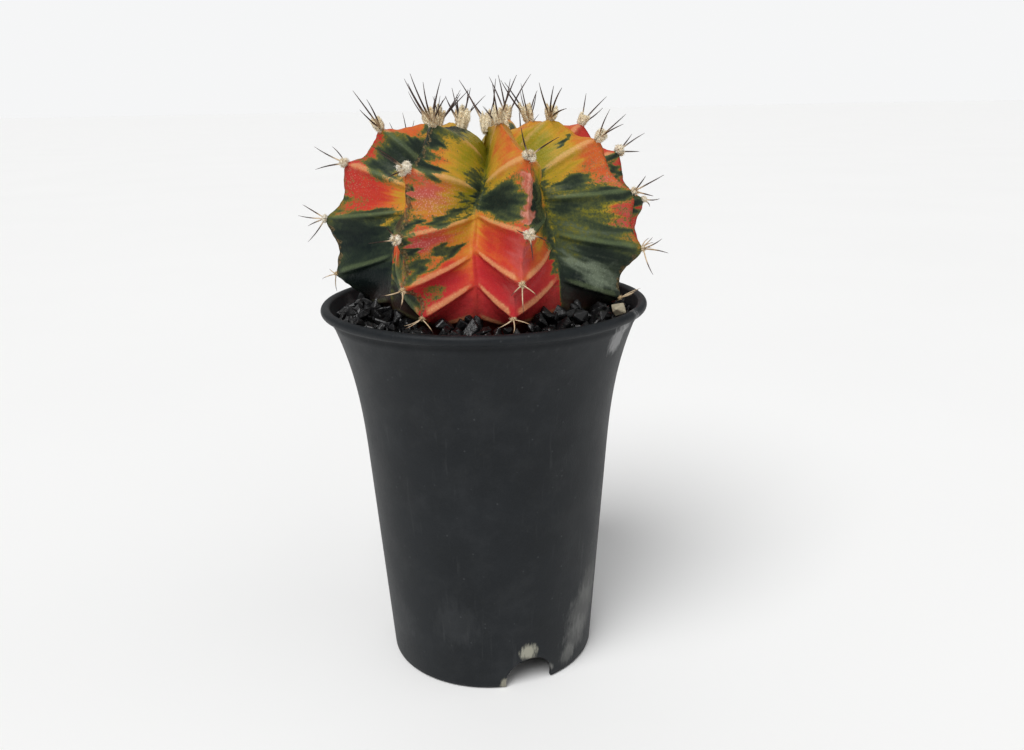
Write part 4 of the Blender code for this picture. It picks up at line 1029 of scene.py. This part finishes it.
def build_spines():
    """A tapered, slightly bowed spine on each point, aimed and sized by the point's values."""
    tree, given, leave = open_nodes("spines", (
        ("Sides", "NodeSocketInt", 6), ("Taper", "NodeSocketFloat", 0.8),
        ("Bow", "NodeSocketFloat", 1.6), ("Finish", "NodeSocketMaterial", None)))
    horn = add_node(tree, "GeometryNodeMeshCone", {
        "Vertices": given["Sides"], "Side Segments": 8, "Fill Segments": 1,
        "Radius Top": 1.0, "Radius Bottom": 1.0, "Depth": 1.0}).outputs[0]
    place = add_node(tree, "GeometryNodeInputPosition").outputs[0]
    height = add_node(tree, "ShaderNodeSeparateXYZ", {0: place}).outputs[2]
    thinner = calculate(tree, "MULTIPLY", calculate(tree, "POWER", height, 2.2), given["Taper"])
    breadth = calculate(tree, "SUBTRACT", 1.0, thinner)
    slim = add_node(tree, "ShaderNodeCombineXYZ", {0: breadth, 1: breadth, 2: 1.0}).outputs[0]
    pointed = add_node(tree, "ShaderNodeVectorMath", {0: place, 1: slim},
                       operation="MULTIPLY").outputs[0]
    noted = add_node(tree, "GeometryNodeStoreNamedAttribute", {
        "Geometry": horn, "Name": "reach", "Value": height}, data_type="FLOAT",
        domain="POINT").outputs[0]
    arch = calculate(tree, "MULTIPLY", calculate(tree, "SUBTRACT", height, 0.5),
                     calculate(tree, "SUBTRACT", height, 0.5))
    swing = calculate(tree, "MULTIPLY", calculate(tree, "SUBTRACT", 0.25, arch), given["Bow"])
    swing = calculate(tree, "MULTIPLY", swing, 4.0)
    aside = add_node(tree, "ShaderNodeCombineXYZ", {0: swing}).outputs[0]
    bowed = add_node(tree, "GeometryNodeSetPosition", {"Geometry": noted, "Position": pointed,
                                                       "Offset": aside})

    def value(name, kind):
        return add_node(tree, "GeometryNodeInputNamedAttribute", {"Name": name},
                        data_type=kind).outputs[0]

    aimed = add_node(tree, "FunctionNodeAlignRotationToVector", {
        "Vector": value("aim", "FLOAT_VECTOR")}, axis="Z").outputs[0]
    roll = add_node(tree, "ShaderNodeCombineXYZ", {2: value("roll", "FLOAT")}).outputs[0]
    turn = add_node(tree, "FunctionNodeEulerToRotation", {0: roll}).outputs[0]
    aimed = add_node(tree, "FunctionNodeRotateRotation", {0: aimed, 1: turn},
                     rotation_space="LOCAL").outputs[0]
    size = add_node(tree, "ShaderNodeCombineXYZ", {
        0: value("girth", "FLOAT"), 1: value("girth", "FLOAT"), 2: value("length", "FLOAT")})
    placed = add_node(tree, "GeometryNodeInstanceOnPoints", {
        "Points": given["Geometry"], "Instance": bowed.outputs[0], "Rotation": aimed,
        "Scale": size.outputs[0]}).outputs[0]
    close_nodes(tree, placed, given["Finish"], leave)
    return tree


def build_rubble():
    """Stones picked at random from a set, turned every way and packed over a bed."""
    tree, given, leave = open_nodes("crushed_stone", (
        ("Stones", "NodeSocketCollection", None), ("Spacing", "NodeSocketFloat", 0.003),
        ("Density", "NodeSocketFloat", 3e5), ("Smallest", "NodeSocketFloat", 0.7),
        ("Largest", "NodeSocketFloat", 1.3), ("Seed", "NodeSocketInt", 1),
        ("Clear Place", "NodeSocketVector", None), ("Clear Radius", "NodeSocketFloat", 0.003),
        ("Finish", "NodeSocketMaterial", None)))
    shapes = add_node(tree, "GeometryNodeCollectionInfo", {
        "Collection": given["Stones"], "Separate Children": True, "Reset Children": True})
    spread = add_node(tree, "GeometryNodeDistributePointsOnFaces", {
        "Mesh": given["Geometry"], "Distance Min": given["Spacing"],
        "Density Max": given["Density"], "Seed": given["Seed"]},
        distribute_method="POISSON")
    angles = add_node(tree, "FunctionNodeRandomValue", {
        0: (-3.14, -3.14, -3.14), 1: (3.14, 3.14, 3.14), "Seed": given["Seed"]},
        data_type="FLOAT_VECTOR").outputs[0]
    turn = add_node(tree, "FunctionNodeEulerToRotation", {0: angles}).outputs[0]
    sizes = add_node(tree, "FunctionNodeRandomValue", {
        2: given["Smallest"], 3: given["Largest"], "Seed": given["Seed"]}).outputs[1]
    away = add_node(tree, "ShaderNodeVectorMath", {
        0: add_node(tree, "GeometryNodeInputPosition").outputs[0], 1: given["Clear Place"]},
        operation="DISTANCE").outputs["Value"]
    too_near = calculate(tree, "LESS_THAN", away, given["Clear Radius"])
    kept_points = add_node(tree, "GeometryNodeDeleteGeometry", {
        "Geometry": spread.outputs[0], "Selection": too_near}).outputs[0]
    placed = add_node(tree, "GeometryNodeInstanceOnPoints", {
        "Points": kept_points, "Instance": shapes.outputs[0], "Pick Instance": True,
        "Rotation": turn, "Scale": sizes}).outputs[0]
    solid = add_node(tree, "GeometryNodeRealizeInstances", {0: placed}).outputs[0]
    coated = add_node(tree, "GeometryNodeSetMaterial", {"Geometry": solid,
                                                        "Material": given["Finish"]})
    tree.links.new(coated.outputs[0], leave.inputs[0])
    return tree


# ---------------------------------------------------------------- wool and spines
WOOL_BY_GROWTH = (                  # growth, height and radius in mm
    (0, 4.0, 0.85), (12, 4.4, 0.9), (22, 3.7, 0.9), (34, 1.8, 1.05), (50, 1.2, 0.85),
    (60, 0.7, 0.44), (70, 0.6, 0.38),
)
GOLDEN_ANGLE = 2.4                  # radians; successive points turned by it spread evenly
WOOL_SINK = 0.3                     # mm that the wool reaches into the skin
WOOL_TUFTS = 6                      # the first in the middle, the others around it
TUFT_RING = 0.62                    # where those lie, as a share of the cushion's radius
TUFT_SIZE, TUFT_HEIGHT = (0.42, 0.66), (0.3, 0.55)      # shares of its radius and height
MIDDLE_TUFT = 1.15                  # how much taller the middle one is
TUFT_LEAN = 0.25                    # the most that a tuft leans outwards
# Spines where an areole has no fan of its own: across the rib, up it, share of the longest.
UPPER_FAN = ((-0.62, 0.5, 0.95), (-0.05, 0.75, 1.0), (0.6, 0.55, 0.95))
SIDE_FAN = ((-0.95, -0.2, 0.7), (0.9, -0.25, 0.7))
LOWEST_SPINE = (0.1, -0.65, 0.65)   # missing where the areole is close above the stones
SPINE_STAND = 0.8                   # how far they point outwards
SPINE_SCATTER = 0.14
CROWN_GROWTH = 20.0                 # younger areoles than this hold their spines together
LOW_GROWTH = 54.0                   # past this growth they turn up, away from the stones
LOW_SPAN = 12.0
LOW_LIFT = 1.3
LOW_FLATTEN = 0.75                  # share of its own rise that a low spine loses
SPINE_START = 0.5                   # mm from the areole's place on the crest
SPINE_GIRTH, GIRTH_GAIN = 0.125, 0.0065         # mm of radius, and what each mm of length adds
YOUNG_SPINE_SHARE = 1.3             # how much longer the crown's spines are than their fans say
# Cushions of another size than their growth gives, as a share of that size.
WOOL_SHARES = {
    "front_left_3": 1.1, "front_3": 0.95, "front_4": 1.0, "left_4": 0.8, "right_4": 0.8,
    "right_5": 0.75, "back_right_4": 0.7, "left_5": 0.8,
}


def wool_size(name, growth):
    """Height and radius of an areole's cushion in mm."""
    table = np.array(WOOL_BY_GROWTH, float)
    share = WOOL_SHARES.get(name, 1.0)
    return (float(np.interp(growth, table[:, 0], table[:, 1])) * share,
            float(np.interp(growth, table[:, 0], table[:, 2])) * share)


def make_wool(index, felt, material):
    """The cushions of one rib: lumpy domes, taller and tufted on young growth, felted over."""
    name = RIBS[index][0]
    rng = random.Random(f"wool {name}")
    bm = bmesh.new()
    for tier, (place, across, up, out, growth, _) in enumerate(areole_frames(index), 1):
        height, radius = wool_size(f"{name}_{tier}", growth)
        for tuft in range(WOOL_TUFTS):
            turn = GOLDEN_ANGLE * tuft + rng.uniform(-0.5, 0.5)
            away = radius * TUFT_RING * (tuft > 0)
            middle = across * math.cos(turn) * away + up * math.sin(turn) * away
            size = radius * rng.uniform(*TUFT_SIZE)
            stand = height * rng.uniform(*TUFT_HEIGHT) * (1.0 if tuft else MIDDLE_TUFT)
            lean = (across * math.cos(turn) + up * math.sin(turn)) * rng.uniform(0.0, TUFT_LEAN)
            drift = Vector((rng.uniform(0, 50), rng.uniform(0, 50), rng.uniform(0, 50)))
            for vert in bmesh.ops.create_icosphere(bm, subdivisions=2, radius=1.0)["verts"]:
                lump = 1.0 + 0.4 * noise.noise(vert.co * 1.8 + drift)
                lump += 0.3 * noise.noise(vert.co * 4.5 + drift)
                flat = (across * vert.co.x + up * vert.co.y) * size * lump
                rise = stand * (0.8 + vert.co.z * lump)
                vert.co = (place + middle + flat + (out + lean) * rise - out * WOOL_SINK) * MM
    bm.normal_update()
    cushions = object_from_bmesh(f"wool_{name}", bm)
    return grow(cushions, felt, {"Finish": material, "Seed": 11 + index})


def random_fan(rng, growth, longest):
    """Spines of one areole as across, up, outwards and length: stout upper ones, finer low ones."""
    opened = min(1.0, growth / CROWN_GROWTH)
    low = min(1.0, max(0.0, (growth - LOW_GROWTH) / LOW_SPAN))
    fan = [*UPPER_FAN, *SIDE_FAN]
    if not low:
        fan.append(LOWEST_SPINE)
    spines = []
    for side, rise, share in fan:
        rise = (rise * opened * (1.0 - LOW_FLATTEN * low) + LOW_LIFT * low
                + rng.uniform(-SPINE_SCATTER, SPINE_SCATTER))
        side = side * opened + rng.uniform(-SPINE_SCATTER, SPINE_SCATTER)
        spines.append((side, rise, SPINE_STAND, longest * share * rng.uniform(0.85, 1.0)))
    return spines


def make_spines(index, tree, material):
    """The spines of one rib, from its areoles' own fans where those are listed."""
    name = RIBS[index][0]
    rng = random.Random(f"spines {name}")
    places, aims, lengths, girths, rolls, darks = [], [], [], [], [], []
    for tier, (place, across, up, out, growth, longest) in enumerate(areole_frames(index), 1):
        fan = SPINE_FANS.get(f"{name}_{tier}") or random_fan(rng, growth, longest)
        dark = float(np.interp(growth, (30, 50, 62), (1.0, 0.85, 0.2)))
        slender = float(np.interp(growth, (50, 62), (1.0, 0.82)))
        for side, rise, stand, length in fan:
            length *= float(np.interp(growth, (25, 34), (YOUNG_SPINE_SHARE, 1.0)))
            aim = (across * side + up * rise + out * stand).normalized()
            places.append((place + aim * SPINE_START) * MM)
            aims.append(aim)
            lengths.append((length - SPINE_START) * MM)
            girths.append((SPINE_GIRTH + GIRTH_GAIN * length) * slender
                          * rng.uniform(0.85, 1.15) * MM)
            rolls.append(rng.uniform(0, math.tau))
            darks.append(min(1.0, max(0.0, dark + rng.uniform(-0.2, 0.15))))
    mesh = bpy.data.meshes.new(f"spines_{name}")
    mesh.from_pydata(places, [], [])
    mesh.attributes.new("aim", "FLOAT_VECTOR", "POINT").data.foreach_set(
        "vector", np.array(aims, np.float32).reshape(-1))
    for label, values in (("length", lengths), ("girth", girths), ("roll", rolls),
                          ("dark", darks)):
        keep_values(mesh, label, values)
    return grow(object_from_mesh(f"spines_{name}", mesh), tree, {"Finish": material})


# ---------------------------------------------------------------- crushed stone
STONE_SHAPES = 9
STONE_HALF_LENGTH = 2.7
CHIP_CORNERS = 8
CHIP_TWIST = 0.6                    # radians that a corner may stray
CHIP_WEAR = 0.78                    # the least share of its half length a corner keeps
CHIP_BEVEL = 0.07                   # worn edge, as a share of the half length
# The courses of stones: depth below the bed's top, gap to the wall, greatest breadth and least
# spacing in mm, most stones to a square metre, and the smallest and largest scale of a chip.
STONE_COURSES = (
    (0.6, 1.9, 40.0, 2.7, 4e5, 0.75, 1.15),
    (-0.5, 2.1, 40.0, 4.3, 4e5, 0.6, 1.1),
    (2.6, 1.9, 40.0, 2.5, 4e5, 0.9, 1.2),
    (0.5, 0.7, 3.2, 1.5, 2e6, 0.36, 0.62),
)
# The place kept clear of other stones, from the pale stone's middle, and its radius.
CLEARING_OFFSET, CLEARING_RADIUS = (-0.4, -1.0, 0.0), 3.4
PALE_STONE_OFFSET = (0.3, 0.0, 0.4)


def chip(name, rng, half_length):
    """An angular chip: the hull of a few points on an ellipsoid, its edges slightly worn."""
    bm = bmesh.new()
    breadth, thickness = rng.uniform(0.7, 0.95), rng.uniform(0.5, 0.8)
    for number in range(CHIP_CORNERS):
        height = 1.0 - 2.0 * (number + 0.5) / CHIP_CORNERS
        angle = number * GOLDEN_ANGLE + rng.uniform(-CHIP_TWIST, CHIP_TWIST)
        ring = math.sqrt(1.0 - height * height)
        bm.verts.new(Vector((ring * math.cos(angle), breadth * ring * math.sin(angle),
                             thickness * height)) * half_length * rng.uniform(CHIP_WEAR, 1.0) * MM)
    bmesh.ops.convex_hull(bm, input=bm.verts)
    bmesh.ops.dissolve_limit(bm, angle_limit=0.12, verts=bm.verts, edges=bm.edges)
    bmesh.ops.bevel(bm, geom=bm.edges[:], offset=half_length * CHIP_BEVEL * MM, segments=1,
                    affect="EDGES", clamp_overlap=True)
    bmesh.ops.remove_doubles(bm, verts=bm.verts, dist=0.01 * MM)
    bmesh.ops.triangulate(bm, faces=bm.faces)
    bmesh.ops.recalc_face_normals(bm, faces=bm.faces)
    return object_from_bmesh(name, bm)


def bed_surface(drop, gap, breadth):
    """What a course lies on, in mm: this far down and from the wall, and at most this broad."""
    inner = []
    for index in range(len(RIBS)):
        for side in (-1, 1):
            ends = (1, 0) if side < 0 else (0, 1)
            across = np.linspace(*ends, BED_COLUMNS + 1)[:-1]
            growth = BED_GROWTH + BED_FALL * across
            inner.append(stem_points(index, side, growth, across))
    inner = np.concatenate(inner)
    middle = PLANT_CENTRE[:2]
    away = inner[:, :2] - middle
    radius = np.linalg.norm(away, axis=1)
    angle = np.arctan2(away[:, 1], away[:, 0])
    order = np.argsort(angle)
    angle, radius = angle[order], radius[order]
    wall = pot_radius(BED_HEIGHT - max(0.0, drop)) - WALL - gap
    bm = bmesh.new()
    rings = []
    for share in np.linspace(0, 1, BED_RINGS):
        ring = []
        for turn, near in zip(angle, radius):
            near = max(min(near - BED_TUCK, wall - 1.0), wall - breadth)
            reach = near + (wall - near) * share
            height = BED_HEIGHT + (HEAP_HEIGHT - BED_HEIGHT) * min(1.0, max(
                0.0, (HEAP_START - reach) / HEAP_SPAN)) - drop
            height += BANK_HEIGHT * math.exp(-((turn - BANK_TURN) / BANK_SPREAD) ** 2) * min(
                1.0, max(0.0, (BANK_START - reach) / BANK_SPAN))
            ring.append(bm.verts.new((
                (middle[0] * (1 - share) + reach * math.cos(turn)) * MM,
                (middle[1] * (1 - share) + reach * math.sin(turn)) * MM, height * MM)))
        rings.append(ring)
    for inner_ring, outer_ring in zip(rings, rings[1:]):
        for at in range(len(inner_ring)):
            after = (at + 1) % len(inner_ring)
            bm.faces.new((inner_ring[at], outer_ring[at], outer_ring[after], inner_ring[after]))
    bm.normal_update()
    return bm


def make_rubble(tree, material):
    """Close courses of stones that fill the bed, a looser one on top, grit along the wall."""
    rng = random.Random(20)
    low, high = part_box("pale_stone")
    clearing = (low + high) / 2 + Vector(CLEARING_OFFSET) * MM
    shapes = bpy.data.collections.new("stone_shapes")
    for number in range(STONE_SHAPES):
        shape = chip(f"stone_shape_{number}", rng, STONE_HALF_LENGTH)
        bpy.context.scene.collection.objects.unlink(shape)
        shapes.objects.link(shape)
    courses = []
    for number, course in enumerate(STONE_COURSES):
        drop, gap, breadth, spacing, density, smallest, largest = course
        bed = object_from_bmesh(f"stones_{number}", bed_surface(drop, gap, breadth))
        courses.append(grow(bed, tree, {
            "Stones": shapes, "Spacing": spacing * MM, "Density": density,
            "Smallest": smallest, "Largest": largest, "Seed": 4 + number, "Finish": material,
            "Clear Place": clearing, "Clear Radius": CLEARING_RADIUS * MM}))
    for shape in list(shapes.objects):
        bpy.data.objects.remove(shape)
    bpy.data.collections.remove(shapes)
    return courses


def make_pale_stone(material):
    """One larger pale stone, put where the frame's own stands."""
    low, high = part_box("pale_stone")
    stone = chip("pale_stone_chip", random.Random(5), (high - low).length / MM * 0.5)
    middle = (low + high) / 2 + Vector(PALE_STONE_OFFSET) * MM
    stone.data.transform(Matrix.Translation(middle))
    stone.data.materials.append(material)
    return stone


# ---------------------------------------------------------------- the pot
def pot_radius(height):
    """The wall's outer radius in mm: a straight taper, and a flare towards the rim."""
    flare = max(0.0, (height - FLARE_START) / (POT_HEIGHT - FLARE_START))
    return FOOT_RADIUS + TAPER * height + FLARE_REACH * flare ** FLARE_POWER


def pot_outline():
    """The wall's section from the floor's middle inside, over the bead, to the foot."""
    floor_top = FLOOR_UNDERSIDE + WALL
    outline = [(0.0, floor_top), (FLAT_RADIUS, floor_top)]
    corner = pot_radius(floor_top) - WALL
    outline += [(corner - FLOOR_FILLET, floor_top), (corner - 0.35, floor_top + 0.3),
                (corner, floor_top + FLOOR_FILLET)]
    outline += [(pot_radius(z) - WALL, z) for z in np.linspace(floor_top + 4, 84.5, 22)]
    middle, height = RIM_RADIUS - BEAD_RADIUS, POT_HEIGHT - BEAD_RADIUS
    outline += [(middle + BEAD_RADIUS * math.cos(turn), height + BEAD_RADIUS * math.sin(turn))
                for turn in np.radians(np.arange(178, -62, -15))]
    step = pot_radius(STEP_HEIGHT)
    outline += [(step + 0.12, 85.35), (step + 0.02, 85.1), (step - 0.04, 84.7), (step, 84.2)]
    outline += [(pot_radius(z), z) for z in np.linspace(83.4, 1.2, 40)]
    outline += [(FOOT_RADIUS + 0.03, 0.5), (FOOT_RADIUS - 0.08, 0.16), (FOOT_RADIUS - 0.3, 0.0),
                (FOOT_RADIUS - WALL + 0.25, 0.0), (FOOT_RADIUS - WALL, 0.25),
                (pot_radius(4.0) - WALL, 4.0), (pot_radius(FLOOR_UNDERSIDE) - WALL - 0.1, 7.6),
                (pot_radius(FLOOR_UNDERSIDE) - WALL - 0.7, FLOOR_UNDERSIDE),
                (FLAT_RADIUS, FLOOR_UNDERSIDE), (0.0, FLOOR_UNDERSIDE)]
    return outline


def add_drill(bm, radius, place, direction, length):
    """A cylinder to cut with, in mm, added to a mesh of cutters."""
    turn = Vector(direction).to_track_quat("Z", "Y").to_matrix().to_4x4()
    where = Matrix.Translation(Vector(place) * MM) @ turn
    bmesh.ops.create_cone(bm, cap_ends=True, segments=64, radius1=radius * MM,
                          radius2=radius * MM, depth=length * MM, matrix=where)


def make_pot(material):
    """The moulded pot: a turned wall with its bead, floor and foot, notched and drilled."""
    bm = bmesh.new()
    for radius, height in pot_outline():
        bm.verts.new((radius * MM, 0.0, height * MM))
    bm.verts.ensure_lookup_table()
    for first, second in zip(bm.verts[:], bm.verts[1:]):
        bm.edges.new((first, second))
    pot = object_from_bmesh("nursery_pot", bm, material)
    turned = pot.modifiers.new("turned", "SCREW")
    turned.steps = turned.render_steps = POT_SIDES
    turned.use_merge_vertices = True
    turned.merge_threshold = 0.01 * MM
    bm = bmesh.new()
    for azimuth in NOTCH_AZIMUTHS:
        side = outward(np.array(azimuth))
        notch = side * FOOT_RADIUS + np.array((0, 0, NOTCH_CENTRE_HEIGHT))
        add_drill(bm, NOTCH_RADIUS, notch, side, NOTCH_DRILL)
        hole = side * DRAIN_HOLE_PITCH + np.array((0, 0, FLOOR_UNDERSIDE))
        add_drill(bm, DRAIN_HOLE_RADIUS, hole, (0, 0, 1), DRAIN_DRILL)
    drills = object_from_bmesh("drills", bm)
    cut = pot.modifiers.new("cut", "BOOLEAN")
    cut.operation = "DIFFERENCE"
    cut.object = drills
    softened = pot.modifiers.new("softened", "BEVEL")
    softened.width = POT_EDGE_ROUNDING * MM
    softened.segments = 2
    softened.angle_limit = math.radians(CREASE_ANGLE)
    applied(pot)
    bpy.data.objects.remove(drills)
    pot.data.shade_smooth()
    pot.data.set_sharp_from_angle(angle=math.radians(CREASE_ANGLE))
    return pot


# ---------------------------------------------------------------- stage
CAMERA_PLACE = (-4.32, -211.7, 132.2)           # mm
CAMERA_YAW, CAMERA_PITCH, CAMERA_ROLL = 0.0494, 0.2903, -0.0176     # radians
CAMERA_LENS = 32.56
# Lamps: name, the direction that they shine in, strength, how wide they look in degrees.
LAMPS = (
    ("key", (0.35, 0.6, -0.9), 2.5, 40.0),
    ("fill", (-0.8, 0.5, -0.5), 0.55, 80.0),
    ("back", (0.1, -0.8, -0.6), 0.25, 70.0),
)
STUDIO_TONE = (0.98, 0.985, 0.99)
STUDIO_LIGHT, STUDIO_SEEN = 0.27, 0.935         # how bright it lights, and how bright it looks


def place_camera():
    """A camera above the rim's height, turned down towards the plant."""
    data = bpy.data.cameras.new("camera")
    data.sensor_width = 36.0
    data.lens = CAMERA_LENS
    data.clip_start = 0.005
    camera = bpy.data.objects.new("camera", data)
    bpy.context.scene.collection.objects.link(camera)
    yaw, pitch, roll = CAMERA_YAW, CAMERA_PITCH, CAMERA_ROLL
    ahead = Vector((math.sin(yaw) * math.cos(pitch), math.cos(yaw) * math.cos(pitch),
                    -math.sin(pitch)))
    level = Vector((math.cos(yaw), -math.sin(yaw), 0.0))
    above = level.cross(ahead)
    right = math.cos(roll) * level + math.sin(roll) * above
    top = -math.sin(roll) * level + math.cos(roll) * above
    turn = Matrix((right, top, -ahead)).transposed().to_4x4()
    camera.matrix_world = Matrix.Translation(Vector(CAMERA_PLACE) * MM) @ turn
    bpy.context.scene.camera = camera


def place_lamp(name, toward, power, spread):
    """A broad lamp far off."""
    data = bpy.data.lights.new(name, "SUN")
    data.energy = power
    data.angle = math.radians(spread)
    lamp = bpy.data.objects.new(name, data)
    bpy.context.scene.collection.objects.link(lamp)
    lamp.rotation_euler = Vector(toward).to_track_quat("-Z", "Y").to_euler()


def set_stage():
    """A pale floor under soft studio light: a broad key above left, a fill and a back light."""
    bm = bmesh.new()
    bmesh.ops.create_grid(bm, x_segments=2, y_segments=2, size=12.0)
    floor = object_from_bmesh("floor", bm, finish_floor())
    floor.data.transform(Matrix.Translation((0.0, 0.0, -0.0002)))
    for lamp in LAMPS:
        place_lamp(*lamp)
    world = bpy.data.worlds.new("studio")
    world.use_nodes = True
    sky = world.node_tree.nodes["Background"]
    sky.inputs["Color"].default_value = opaque(STUDIO_TONE)
    seen = world.node_tree.nodes.new("ShaderNodeLightPath").outputs["Is Camera Ray"]
    strength = add_node(world.node_tree, "ShaderNodeMapRange", {
        0: seen, 3: STUDIO_LIGHT, 4: STUDIO_SEEN})
    world.node_tree.links.new(strength.outputs[0], sky.inputs["Strength"])
    bpy.context.scene.world = world
    bpy.context.scene.view_settings.view_transform = "Standard"


# ---------------------------------------------------------------- putting it together
def coat_node(node, material):
    """Give a carried-over solid its finish."""
    made = bpy.data.objects[node]
    made.data.materials.clear()
    made.data.materials.append(material)


def put_in_frame(piece, nodes):
    """Hang a piece on the body, in place of the solids that it shows in full."""
    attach(piece, BODY)
    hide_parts(*nodes)


def build():
    """Set the stage and make every piece."""
    place_camera()
    set_stage()
    dust, fine_grain, smear = build_dust(), build_fine_grain(), build_smear()
    put_in_frame(make_pot(finish_pot(dust, fine_grain, smear)), ("pot",))
    put_in_frame(make_stem(finish_skin()), ("stem",))
    wool, horn = finish_wool(fine_grain), finish_spines(fine_grain)
    felt, spines = build_felt(), build_spines()
    for index, (name, _, areoles) in enumerate(RIBS):
        nodes = [f"areole_{name}_{tier}" for tier in range(1, len(areoles) + 1)]
        put_in_frame(make_wool(index, felt, wool), nodes)
        put_in_frame(make_spines(index, spines, horn), nodes)
    black = finish_stone("black_stone", (0.0018, 0.0018, 0.002), (0.0066, 0.0066, 0.0076), 0.18,
                         dust, fine_grain, 0.2, 0.03)
    beige = finish_stone("pale_stone_dull", (0.27, 0.225, 0.15), (0.47, 0.42, 0.3), 0.65,
                         dust, fine_grain, 0.1, 0.1)
    stones = ["gravel_bed"] + [f"stone_{number}" for number in range(1, 16)]
    for course in make_rubble(build_rubble(), black):
        put_in_frame(course, stones)
    put_in_frame(make_pale_stone(beige), ("pale_stone",))
    coat_node("potting_mix", finish_mix(fine_grain))


build()
